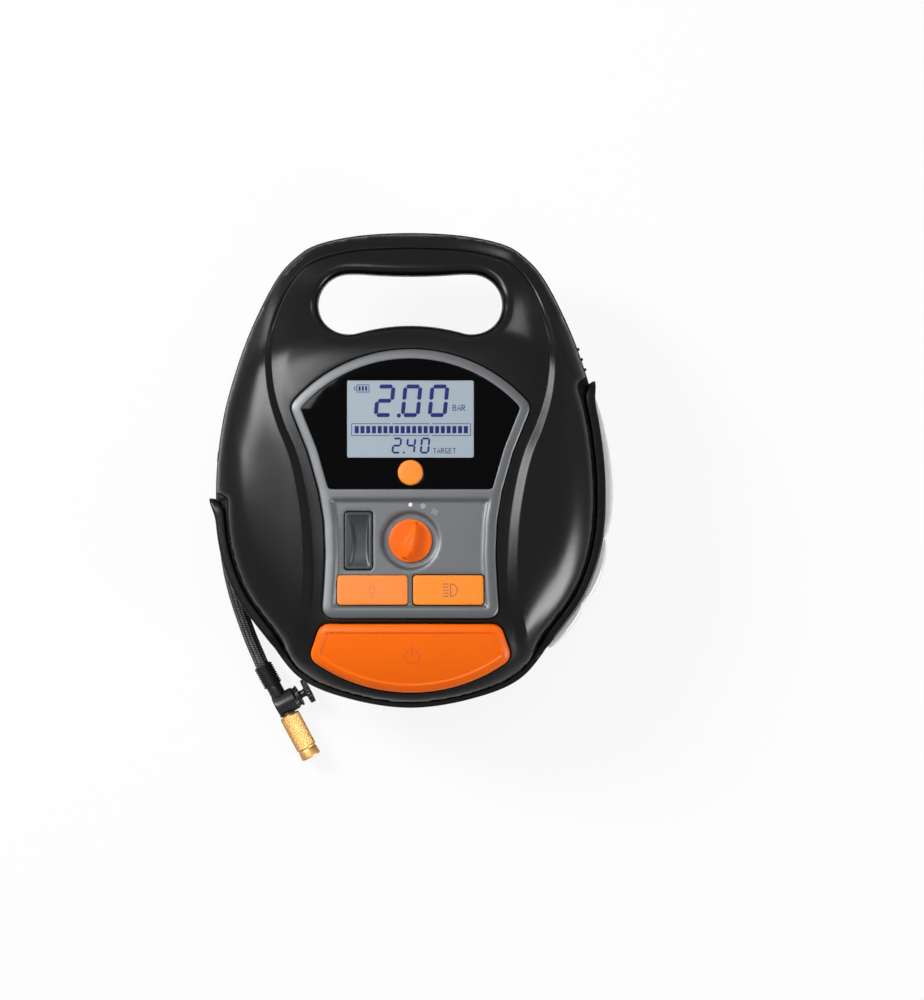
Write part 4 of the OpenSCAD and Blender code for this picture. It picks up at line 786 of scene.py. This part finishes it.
KNOB_TURN = math.radians(-19.4)
KNOB_TOP, RIDGE_H, SLOT_DEPTH = 102, 5.2, 0.6
KNOB_RIDGE = [(-1.9, -11.4), (1.9, -11.4), (4.5, -4.5), (1.6, 11.6), (-1.6, 11.6), (-4.5, -4.5)]
KNOB_SLOT = [(-0.5, -5.5), (0.5, -5.5), (0.3, 2.5), (-0.3, 2.5)]
RIDGE = softened(turned_plan(KNOB_RIDGE, KNOB_AT, KNOB_TURN), 0.4, 8)
SLOT = softened(turned_plan(KNOB_SLOT, KNOB_AT, KNOB_TURN), 0.25, 2)


def knob_height(p):
    far = (lengths(p - KNOB_AT) / KNOB_R)**2
    z = KNOB_TOP - 0.35 * far + RIDGE_H * ease((depth_in(p, RIDGE) + 0.2) / 1.7) * (1 - 0.3 * far)
    return z - SLOT_DEPTH * ease((depth_in(p, SLOT) + 0.5) / 0.8)


ROCKER_TOP, SCOOP_DEPTH, SCOOP_HALF_L = 99.7, 1.9, 15.2


def rocker_height(p):
    """The rocker's top with its scoop, whose left side bows in more than its right."""
    x, y = (p - ROCKER_AT).T
    v = np.clip(np.abs(y) / SCOOP_HALF_L, 0, 1)
    left = -6.4 + 3.0 * (1 - v**2)
    right = 6.9 - 0.6 * (1 - v**2)
    into = np.minimum(x - left, right - x)
    return ROCKER_TOP - SCOOP_DEPTH * (1 - v**3) * ease(into / 1.6)


def make_controls():
    dome = [(0.01, 95.3), (8.3, 95.3), (8.3, 96.6), (MODE_R, 96.6)]
    top = [(MODE_R, 100.9), (MODE_R - 0.25, 101.2), (MODE_R - 0.8, 101.42), (4, 101.5), (0.01, 101.5)]
    turned("mode_button_cap", dome + top, (*MODE_AT, 0), (0, 0, 1), "mode_button", "key_orange",
           ["mode_button"], 96)
    relief("knob_cap", circle(*KNOB_AT, KNOB_R, 180), knob_height, 0.7, "knob", "power_orange",
           ["mode_knob"], round_r=0.7, floor=98.8,
           rings=[inward(RIDGE, d) for d in (-0.2, 0.1, 0.4, 0.7, 1.0, 1.3, 1.55)]
           + [inward(SLOT, d) for d in (-0.5, -0.25, 0)])
    relief("rocker_cap", rounded_box(*ROCKER_AT, ROCKER_W, ROCKER_L, 2, 0.5), rocker_height, 0.6, "rocker",
           "rocker_grey", ["pressure_rocker"], round_r=0.6, floor=95.4)
    for name, x, body, node, top, low, material in (
            ("cover_cap", -KEY_X, "usb_flap", "usb_cover", 100.6, 98.6, "cover_orange"),
            ("light_cap", KEY_X, "light_button", "light_button", 100.6, 95.6, "key_orange")):
        outline = rounded_box(x, KEYS_Y, KEY_W, KEY_H, 2)
        pillow = lambda p, x=x, top=top: top - 0.25 * (np.abs(p[:, 0] - x) / KEY_W * 2)**4
        relief(name, outline, pillow, 1.5, body, material, [node], round_r=0.8, floor=low)


BALL_R, BALL_Y, BALL_Z, BALL_STRETCH = 86.8, -84.3, 13.5, 2.15
POWER_RIM_W, POWER_RIM_FALL, POWER_SUNK = 4.6, 1.5, 0.9


def power_height(p):
    """The power button's top: a stretched ball's, with a falling rim and a sunk middle."""
    d = depth_in(p, POWER)
    ball = BALL_R**2 - (p[:, 0] / BALL_STRETCH)**2 - (p[:, 1] - BALL_Y)**2
    fall = POWER_RIM_FALL * (1 - np.clip(d / POWER_RIM_W, 0, 1))**1.6
    return BALL_Z + np.sqrt(np.maximum(ball, 0)) - fall - POWER_SUNK * ease((d - POWER_RIM_W) / 1.1)


def make_power_button():
    relief("power_cap", POWER, power_height, 1.6, "power_button", "power_orange", ["power_button"],
           rings=[inward(POWER, d) for d in (2.6, 3.6, 4.3, 4.6, 4.9, 5.3, 5.7, 6.2)], round_r=1.6, floor=82,
           round_steps=6)


make_controls()
make_power_button()


# Guards, lamp lens and seam belt along the walls -----
def loft(name, sections, material, nodes=(), sharp=45):
    """A piece on the casing through closed sections."""
    faces = ring_faces(len(sections), len(sections[0]))
    return new_piece(name, np.vstack(sections) * MM, faces, "casing", material, nodes, sharp)


def section(i, corners, left):
    """A closed ring of (distance outside the outline, height) corners at place i."""
    (x, y), (out_x, out_y) = rim(i)[0], rim_normal(i)[0]
    side = -1 if left else 1
    return np.array([(side * (x + out_x * u), y + out_y * u, z) for u, z in corners])


def rounded_ring(corners, radii, steps=4):
    """A closed ring with each corner rounded by its own radius."""
    pts = [np.array(c, float) for c in corners]
    made = []
    for k, b in enumerate(pts):
        a, c = pts[k - 1], pts[(k + 1) % len(pts)]
        u, v = normal(a - b), normal(c - b)
        r = min(radii[k], np.linalg.norm(a - b) / 2.01, np.linalg.norm(c - b) / 2.01)
        made += bend(b + u * r, b, b + v * r, steps)
    return made


HOOK_OUT, HOOK_LENGTH, TIP_LENGTH, TAIL_LENGTH = 3.5, 8, 9, 12
GUARD_LOW_Z, GUARD_Z = 51.2, 62.5


def make_guard(name, top_y, left, node):
    """A guard along the wall, hooked out and slanted at its top and thinned out at its tail."""
    a, b = rim_at(top_y), rim_at(GUARD_LOW_Y - 5)
    sections = []
    for s in np.concatenate([np.linspace(0, 0.04, 8), np.linspace(0.05, 1, 90)]):
        i = a + (b - a) * s
        along = top_y - rim(i)[0][1]
        hook = HOOK_OUT * math.exp(-(along / HOOK_LENGTH)**2)
        tip = math.sqrt(max(0.0, 1 - max(0, 1 - along / TIP_LENGTH)**2))
        tail = ease((rim(i)[0][1] - GUARD_LOW_Y + 4) / TAIL_LENGTH)
        out = (0.3 + hook) * tail - 0.4 * (1 - tail)
        inner = (-5.65 + 0.5 * hook) * tail - 4.6 * (1 - tail)
        inner = out - (out - inner) * (0.2 + 0.8 * tip)
        low, high = GUARD_LOW_Z, GUARD_Z + 5.5 * tail - 3 * (1 - tip)
        corners = rounded_ring([(out, low), (out, high), (inner, high), (inner, low)], [0.6, 1.9, 1.6, 0.3])
        sections.append(section(i, corners, left))
    loft(name, sections, "trim_black", [node])


LOBES = [rim_at(y) for y in (44.6, -41, -79, -105.6)]
LENS_LOW_Z, LENS_Z = 28.2, 49.6
LENS_OUT, LENS_BULGE = 2, 3.6


def make_lens():
    """The lamp's lens in three lobes along the right wall."""
    sections = []
    for k in range(3):
        for q in np.linspace(0.001, 0.999, 40):
            i = LOBES[k] + (LOBES[k + 1] - LOBES[k]) * q
            off = LENS_OUT + LENS_BULGE * math.sin(math.pi * q**(1.8 if k == 0 else 1))**0.5
            corners = rounded_ring([(off, LENS_LOW_Z), (off, LENS_Z), (0.2, LENS_Z), (0.2, LENS_LOW_Z)],
                                   [3.2, 3.2, 0.1, 0.1], 6)
            sections.append(section(i, corners, False))
    loft("lamp_lobes", sections, "lens_milky", ["lamp_lens"], 60)


SEAM_BELT = [(-1.4, 60.6), (-0.04, 60.6), (0, 60.8), (0, 61.8), (-0.15, 62.02), (-1.4, 62.02)]


def make_seam_belt():
    """The rear shell's edge at the seam, round the whole casing."""
    right = [section(i, SEAM_BELT, False) for i in np.linspace(0, LAST, 300)]
    left = [section(i, SEAM_BELT, True) for i in np.linspace(LAST, 0, 300)][1:]
    loft("seam_belt", right + left, "casing_black")


make_seam_belt()
make_guard("guard_right", GUARD_RIGHT_Y, False, "right_guard")
make_guard("guard_left", GUARD_LEFT_Y, True, "left_guard")
make_lens()


# Rear shell: the CAD surface with the smooth belly's own normals -----
RIM = rim(np.linspace(0, LAST, RIM_COUNT))
OUTLINE_REACH = polar_reach(both_sides(RIM, RIM * MIRROR))
BELLY_DOWN, BELLY_OUT = 2.5, 18
GRIP_IN, DRAFT = 0.6, 0.075
NEAR_BELLY, SAME_WAY = 0.12, 0.9


def rear_low(y):
    """The belly's lowest level at y, higher under the handle."""
    return 25 + (44 - 25) * ease((y - 62) / 30)


def belly_level(p):
    """Zero on the belly, positive outside it."""
    t = lengths(p[:, :2] - CENTRE) / OUTLINE_REACH(p[:, :2])
    s = np.clip((Z_SEAM - p[:, 2]) / (Z_SEAM - rear_low(p[:, 1])), 0, 2)
    return s**BELLY_DOWN + t**BELLY_OUT - 1


def belly_normal(p):
    h = 0.05
    n = np.stack([belly_level(p + h * axis) - belly_level(p - h * axis) for axis in np.eye(3)], axis=1)
    return unit(n)


def drafted(points):
    """Plan places of points on the grip's wall, moved back by its draft below the seam."""
    ends = np.roll(GRIP, -1, 0)
    middles, out = (GRIP + ends) / 2, left_of(GRIP - ends)
    nearest = np.argmin(np.linalg.norm(points[:, None, :2] - middles[None], axis=2), axis=1)
    return points[:, :2] + out[nearest] * (GRIP_IN + DRAFT * (Z_SEAM - points[:, 2]))[:, None]


def make_rear_shell():
    mesh = frame["nodes"]["rear_shell"].data.copy()
    mesh.materials.clear()
    mesh.materials.append(MATERIALS["casing_black"])
    points = np.array([v.co for v in mesh.vertices]) / MM
    on_grip = (distance(points[:, :2], GRIP) < 1) & (points[:, 2] < Z_SEAM + 0.1)
    points[on_grip, :2] = drafted(points[on_grip])
    mesh.vertices.foreach_set("co", (points * MM).ravel())
    mesh.update()
    smooth_n = belly_normal(points)
    normals = np.zeros((len(mesh.loops), 3))
    for face in mesh.polygons:
        middle = np.array([face.center]) / MM
        own = np.array(face.normal)
        on_belly = abs(belly_level(middle)[0]) < NEAR_BELLY and own @ belly_normal(middle)[0] > SAME_WAY
        for k in face.loop_indices:
            normals[k] = smooth_n[mesh.loops[k].vertex_index] if on_belly else own
    mesh.polygons.foreach_set("use_smooth", [True] * len(mesh.polygons))
    mesh.normals_split_custom_set([tuple(n) for n in normals])
    piece = add("rear_shell_skin", mesh)
    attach(piece, "casing")
    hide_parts("rear_shell")


make_rear_shell()


# Display -----
LCD_FACE_Z = 100.5
INK_T = 0.05


def slabs(name, shapes, z, thick, body, material, nodes=()):
    """One piece of flat convex shapes, each lying at level z; z may be a function of the plan."""
    level = z if callable(z) else (lambda p: np.full(len(p), float(z)))
    points, faces = [], []
    for shape in shapes:
        shape = np.array(shape, float)
        if area(shape) < 0:
            shape = shape[::-1]
        start, base = len(points), level(shape)
        points += [(x, y, h + up) for up in (0, thick) for (x, y), h in zip(shape, base)]
        faces += [[start + k for k in face] for face in ring_faces(2, len(shape))]
    return new_piece(name, np.array(points) * MM, faces, body, material, nodes, 30)


def stroke(line, width):
    """The convex pieces of a line drawn with square ends and mitred joints."""
    line = np.array(line, float)
    t = np.gradient(line, axis=0) if len(line) > 2 else np.array([line[1] - line[0]] * 2)
    n = left_of(t) * width / 2
    return [np.array([line[k] + n[k], line[k] - n[k], line[k + 1] - n[k + 1], line[k + 1] + n[k + 1]])
            for k in range(len(line) - 1)]


def box(x0, y0, x1, y1):
    return [(x0, y0), (x1, y0), (x1, y1), (x0, y1)]


# A digit's corners, and the corners that its seven bars join
CORNERS = [(0, 0.94), (0.46, 0.94), (0.46, 0.5), (0.46, 0.06), (0, 0.06), (0, 0.5)]
BARS = [(0, 1), (1, 2), (2, 3), (4, 3), (5, 4), (0, 5), (5, 2)]
DIGIT_BARS = {0: (0, 1, 2, 3, 4, 5), 2: (0, 1, 6, 4, 3), 4: (5, 6, 1, 2)}
LEAN = 0.1
BAR_HALF, BAR_GAP = 0.062, 0.02


def digit(n, h, x, y):
    """The bars of a digit h high with its foot at x, y."""
    shapes = []
    for k in DIGIT_BARS[n]:
        a, b = (np.array(CORNERS[c]) for c in BARS[k])
        d = normal(b - a)
        w, g = d * BAR_HALF, d * BAR_GAP
        side = np.array([-w[1], w[0]])
        corners = [a + g, a + w - side, b - w - side, b - g, b - w + side, a + w + side]
        shapes.append([(x + (p[0] + p[1] * LEAN) * h, y + p[1] * h) for p in corners])
    return shapes


# The strokes of each letter, as points in hundredths of its height
LETTERS = {
    "A": ("0 0 28 100 56 0", "12 34 44 34"),
    "B": ("0 0 0 100", "0 94 40 94", "0 52 42 52", "0 6 42 6", "44 92 44 56", "48 50 48 8"),
    "E": ("0 0 0 100", "0 94 48 94", "0 50 42 50", "0 6 48 6"),
    "G": ("50 94 4 94", "6 92 6 8", "4 6 50 6", "48 6 48 48", "28 46 50 46"),
    "R": ("0 0 0 100", "0 94 44 94", "46 92 46 52", "0 50 46 50", "20 48 48 0"),
    "T": ("27 0 27 100", "0 94 54 94"),
}


def word(text, x, y, h, width=0.13, step=0.74):
    shapes = []
    for k, letter in enumerate(text):
        for line in LETTERS[letter]:
            points = np.array(line.split(), float).reshape(-1, 2) / 100 + (k * step, 0)
            shapes += stroke(points * h + (x, y), width * h)
    return shapes


# digits, height, left, foot, pitch, and the point's radius, rise and corners
NUMBERS = [((2, 0, 0), 19, -20.4, 31, 0.83, 1.25, 0.9, 20),
           ((2, 4, 0), 9.4, -10.6, 9.6, 0.88, 0.62, 0.6, 16)]
FRAME_LEFT, FRAME_RIGHT, FRAME_LOW, FRAME_HIGH = -34.4, 35.2, 20.1, 27.1
FRAME_GAP, FRAME_LINE = 0.6, 0.35
GAUGE_BARS, BAR_PITCH, BAR_W = 20, 3.36, 2.4


def lcd_marks():
    shapes = []
    for digits, h, x, y, pitch, point_r, rise, corners in NUMBERS:
        for k, n in enumerate(digits):
            shapes += digit(n, h, x + k * pitch * h, y)
        shapes.append(circle(x + 0.72 * h, y + rise, point_r, corners))
    for k in range(GAUGE_BARS):
        x = -32.6 + k * BAR_PITCH
        shapes.append(box(x, 21.5, x + BAR_W, 25.7))
    third = (FRAME_RIGHT - FRAME_LEFT) / 3
    for k in range(3):
        a = FRAME_LEFT + k * third + (FRAME_GAP if k > 0 else 0)
        b = FRAME_LEFT + (k + 1) * third - (FRAME_GAP if k < 2 else 0)
        for y in (FRAME_LOW, FRAME_HIGH):
            shapes += stroke([(a, y), (b, y)], FRAME_LINE)
    for x in (FRAME_LEFT, FRAME_RIGHT):
        shapes += stroke([(x, FRAME_LOW), (x, FRAME_HIGH)], FRAME_LINE)
    shapes += word("BAR", 24.9, 34.6, 3.5)
    shapes += word("TARGET", 13.4, 9.7, 3.1)
    shapes += battery_sign(-32.8, 45.6)
    return shapes


def battery_sign(x, y):
    w, h = 8.6, 4.2
    shapes = []
    border = [*box(x + 1.5, y, x + w, y + h), (x + 1.5, y)]
    for a, b in zip(border, border[1:]):
        shapes += stroke([a, b], 0.4)
    shapes += stroke([(x, y + h / 2 - 0.9), (x, y + h / 2 + 0.9)], 0.4)
    for rise in (-0.8, 0.8):
        shapes += stroke([(x, y + h / 2 + rise), (x + 1.5, y + h / 2 + rise)], 0.35)
    for k in range(3):
        shapes.append(box(x + 2.5 + k * 1.9, y + 0.8, x + 3.7 + k * 1.9, y + h - 0.8))
    return shapes


slabs("lcd_marks", lcd_marks(), LCD_FACE_Z, INK_T, "casing", "lcd_ink", ["lcd_segments"])


# Printed and pressed signs -----
Z_KEY_SIGN = 100.585
HATCH_AT, HATCH_TURN = (14.2, -24.6), math.radians(62)
POWER_SIGN_AT = (0.9, -109.3)


def make_signs():
    slabs("knob_mark_off", [circle(0, -20.3, 1.15, 24)], Z_FIELD, 0.08, "casing", "white_plastic")
    hatch = [turned_plan(box(-1.5, k * 1.1 - 0.35, 1.5, k * 1.1 + 0.35), HATCH_AT, HATCH_TURN)
             for k in (-1.2, 0, 1.2)]
    slabs("knob_marks_modes", [circle(7.3, -21.1, 1.6, 24)] + hatch, Z_FIELD, 0.06, "casing",
          "faint_print")
    x, y = KEY_X + 0.4, KEYS_Y
    lamp = stroke([(x + 0.9, y - 3.6), *arc(x + 1.2, y, 3.6, -80, 80), (x + 0.9, y + 3.6)], 0.55)
    lamp += stroke([(x + 0.85, y - 3.8), (x + 0.85, y + 3.8)], 0.55)
    for k in range(5):
        lamp += stroke([(x - 3.6, y - 3.6 + k * 1.8), (x - 0.4, y - 3.6 + k * 1.8)], 0.5)
    slabs("light_sign", lamp, Z_KEY_SIGN, 0.06, "light_button", "symbol_brown")
    x = -KEY_X
    plug = stroke([(x, y - 4.6), (x, y - 1.4)], 0.4)
    plug += stroke([*box(x - 1.6, y - 1.4, x + 1.6, y + 1.4), (x - 1.6, y - 1.4)], 0.35)
    for pin in (x - 0.8, x + 0.8):
        plug += stroke([(pin, y + 1.4), (pin, y + 3.4)], 0.4)
    slabs("cover_sign", plug, Z_KEY_SIGN, 0.05, "usb_flap", "cover_mark")
    x, y = POWER_SIGN_AT
    power = stroke(arc(x, y, 4.2, 122, 418, 40), 0.5) + stroke([(x, y + 0.7), (x, y + 5.9)], 0.5)
    slabs("power_sign", power, lambda p: power_height(p) - 0.02, 0.07, "power_button", "power_mark")


make_signs()


# Hose end -----
ACROSS = np.array([-OUT[1], OUT[0], 0])
VALVE_AT = FITTING_AT + 26.9 * OUT


def ferrule_profile():
    made = [(4.5, 0.0), (5.3, 0.0)]
    for k in range(9):
        x = 0.5 + k * 1.5
        made += [(5.2, x), (5.8, x + 0.25), (5.8, x + 0.95), (5.2, x + 1.2)]
    return made + [(5.2, 14), (4.4, 14)]


def knurl(teeth, depth, low, high):
    """A radius that dips between the teeth of a straight knurl from low to high along the axis."""
    return lambda r, d, a: r - (depth * (0.5 - 0.5 * math.cos(teeth * a)) if low < d < high else 0)


def diamond_knurl(teeth, depth, low, high):
    """A radius that dips along two crossing families of fine grooves from low to high along the axis."""
    def radius(r, d, a):
        if not low < d < high:
            return r
        lean = 2 * math.pi * d / 1.2
        return r - depth * (0.5 - 0.5 * math.cos(teeth * a + lean) * math.cos(teeth * a - lean))
    return radius


def make_hose_end():
    black = "fitting_black"
    turned("ferrule", ferrule_profile(), FITTING_AT, OUT, "casing", black, ["hose_ferrule"])
    neck = rounded_profile([(0.01, 14), (4.6, 14), (4.6, 21.5), (1.9, 22.5), (1.9, 31.5), (5.4, 32.5),
                            (5.4, 33.8), (4.6, 33.8), (0.01, 33.8)], 0.6)
    turned("valve_neck", neck, FITTING_AT, OUT, "casing", black, ["valve_body"])
    cross = rounded_profile([(0.01, -4.9), (6.6, -4.9), (6.95, -3.5), (6.95, 8.3), (5.9, 9), (5.9, 10.2),
                             (6.6, 10.6), (6.6, 11.7), (2.7, 11.7), (2.5, 11.3), (2.5, 1.95),
                             (0.01, 1.95)], 0.7)
    turned("valve_cross", cross, VALVE_AT, ACROSS, "casing", black, ["valve_body"])
    stem = rounded_profile([(0.01, 4.7), (2.4, 4.7), (2.4, 14.9), (3.4, 15.6), (7.75, 15.6), (7.75, 18.6),
                            (4.6, 18.6), (4.2, 18.1), (0.01, 18.1)], 0.5)
    turned("bleed_wheel", stem, VALVE_AT, ACROSS, "bleeder", black, ["bleed_knob"], 216,
           shape=knurl(24, 0.55, 15.9, 18.3))
    core = [(1.4, 33.9), (4.4, 33.9), (4.4, 53), (1.4, 53)]
    turned("chuck_inside", core, FITTING_AT, OUT, "casing", "brass", ["chuck_core"])
    outer = [(4.6, 34.6), (5.7, 34.6), (6.2, 35)]
    outer += [(6.35, d) for d in np.arange(35.4, 56.7, 0.15)]
    outer += rounded_profile([(6.2, 56.8), (5.7, 57.1), (5.55, 58.1), (5.9, 58.6), (6.1, 63), (5.6, 63.7),
                              (4.3, 63.7)], 0.25, 3)
    inner = [(3.95, 63.2), (3.6, 62.6), (3.95, 62), (3.6, 61.4), (3.95, 60.8), (3.6, 60.2), (3.95, 59.6),
             (3.95, 53.7), (4.6, 53.6)]
    turned("chuck_grip", outer + inner, FITTING_AT, OUT, "sleeve", "brass", ["chuck_sleeve"], 240,
           shape=diamond_knurl(20, 0.3, 35.5, 56.5))


make_hose_end()


# Stowed hose -----
STOWED_HALF = [
    (0, -134), (26, -131.1), (49.9, -123.8), (69, -109.6), (83.5, -90.1), (97.1, -70.1), (105.2, -47.4),
    (108.2, -20), (107.7, 0.9), (104.8, 25), (101.5, 37), (95, 47.3), (85.6, 55), (63.4, 62.9), (39.7, 67.9),
    (15.6, 70.5), (0, 71),
]
STOWED_Z = 17
GLAND_AT = (-43.3, -126.1)
GLAND_TURN = math.radians(-109)


def make_stowed_hose():
    side = np.array([-math.sin(GLAND_TURN), math.cos(GLAND_TURN)])
    start = np.array(GLAND_AT) + 7.1 * side
    way = [start, start + 2 * side, (-23, -131.6), (-10, -133.7), *STOWED_HALF]
    way += [(-x, y) for x, y in STOWED_HALF[-2:6:-1]] + [(-108.7, -15.6)]
    path = smooth_path([(x, y, STOWED_Z) for x, y in way], 10)
    woven_hose("stowed_hose_weave", path, "hose_stowed", 48, 0.9 * MM)


make_stowed_hose()


# Studio -----
def seen_by(tree, *rays):
    """1 for the named kinds of ray, 0 for the rest."""
    path = add_node(tree, "LightPath")
    share = path.outputs[rays[0]]
    for ray in rays[1:]:
        either = add_node(tree, "Math")
        either.operation = "MAXIMUM"
        tree.links.new(share, either.inputs[0])
        tree.links.new(path.outputs[ray], either.inputs[1])
        share = either.outputs[0]
    return share


def mixed(tree, share, first, second, output):
    """Two shaders, the second by its share, joined into a new output node."""
    mix = add_node(tree, "MixShader")
    for socket, source in zip(mix.inputs, (share, first.outputs[0], second.outputs[0])):
        tree.links.new(source, socket)
    tree.links.new(mix.outputs[0], add_node(tree, output).inputs["Surface"])


WHITE = (1, 1, 1, 1)
FLOOR_COLOUR = (0.9, 0.9, 0.9, 1)
FLOOR_GLOW = 0.88  # the rest shows the object's shadow
FLOOR_HALF = 6
WORLD_LIGHT = 0.22


def make_world():
    world = bpy.data.worlds.new("world")
    bpy.context.scene.world = world
    world.use_nodes = True
    tree = world.node_tree
    tree.nodes.clear()
    seen = seen_by(tree, "Is Camera Ray", "Is Transmission Ray", "Is Glossy Ray")
    light = add_node(tree, "Background", Color=WHITE, Strength=WORLD_LIGHT)
    backdrop = add_node(tree, "Background", Color=WHITE, Strength=1)
    mixed(tree, seen, light, backdrop, "OutputWorld")


def make_floor():
    material = bpy.data.materials.new("floor_white")
    material.use_nodes = True
    tree = material.node_tree
    tree.nodes.clear()
    diffuse = add_node(tree, "BsdfDiffuse", Color=FLOOR_COLOUR)
    glow = add_node(tree, "Emission", Color=WHITE, Strength=1)
    part = add_node(tree, "Math")
    part.operation = "MULTIPLY"
    part.inputs[1].default_value = FLOOR_GLOW
    tree.links.new(seen_by(tree, "Is Camera Ray", "Is Transmission Ray"), part.inputs[0])
    mixed(tree, part.outputs[0], diffuse, glow, "OutputMaterial")
    mesh = bpy.data.meshes.new("floor")
    corners = [(x, y, 0) for x, y in box(-FLOOR_HALF, -FLOOR_HALF, FLOOR_HALF, FLOOR_HALF)]
    mesh.from_pydata(corners, [], [(0, 1, 2, 3)])
    mesh.materials.append(material)
    add("floor", mesh)


def area_light(name, width, height, power):
    data = bpy.data.lights.new(name, "AREA")
    data.shape = "RECTANGLE"
    data.size, data.size_y = width, height
    data.energy = power
    return add(name, data)


def softbox(name, place, size, power):
    """A lamp for soft light alone, turned to the object."""
    lamp = area_light(name, *size, power)
    lamp.location = place
    lamp.rotation_euler = (-Vector(place)).to_track_quat("-Z", "Y").to_euler()
    lamp.visible_glossy = False


GLOSS_AT = 1.5
GLOSS_CENTRE = Vector((0, 0, 0.08))


def gloss_box(name, sky, span, radiance):
    """A lamp for highlights alone, at sky degrees (right, up) off the vertical and span degrees wide."""
    tilt = math.radians(math.hypot(*sky))
    away = Vector((sky[0], sky[1], 0)).normalized() * math.sin(tilt) + Vector((0, 0, math.cos(tilt)))
    across = (Vector((1, 0, 0)) - away * away.x).normalized()
    size = [2 * GLOSS_AT * math.tan(math.radians(d) / 2) for d in span]
    lamp = area_light(name, *size, radiance * math.pi * size[0] * size[1])
    turn = Matrix((across, away.cross(across), away)).transposed().to_4x4()
    lamp.matrix_world = Matrix.Translation(away * GLOSS_AT + GLOSS_CENTRE) @ turn
    lamp.visible_diffuse = False


make_world()
make_floor()
softbox("key_left", (-1.1, 0.6, 0.95), (0.42, 0.5), 21)
softbox("fill_right", (1.2, -0.6, 0.6), (0.3, 0.7), 8)
softbox("top", (0.1, 0.62, 1.9), (1.0, 0.5), 8)
gloss_box("gloss_left", (-43, 15), (28, 22), 32)
gloss_box("gloss_left_inner", (-19, 9), (21, 11), 32)
gloss_box("gloss_right", (63, -36), (26, 24), 33)
gloss_box("gloss_grip_right", (24, 61), (9, 5), 34)
gloss_box("gloss_shoulder", (-61, 65), (10, 8), 16)
bpy.context.scene.view_settings.view_transform = "Standard"
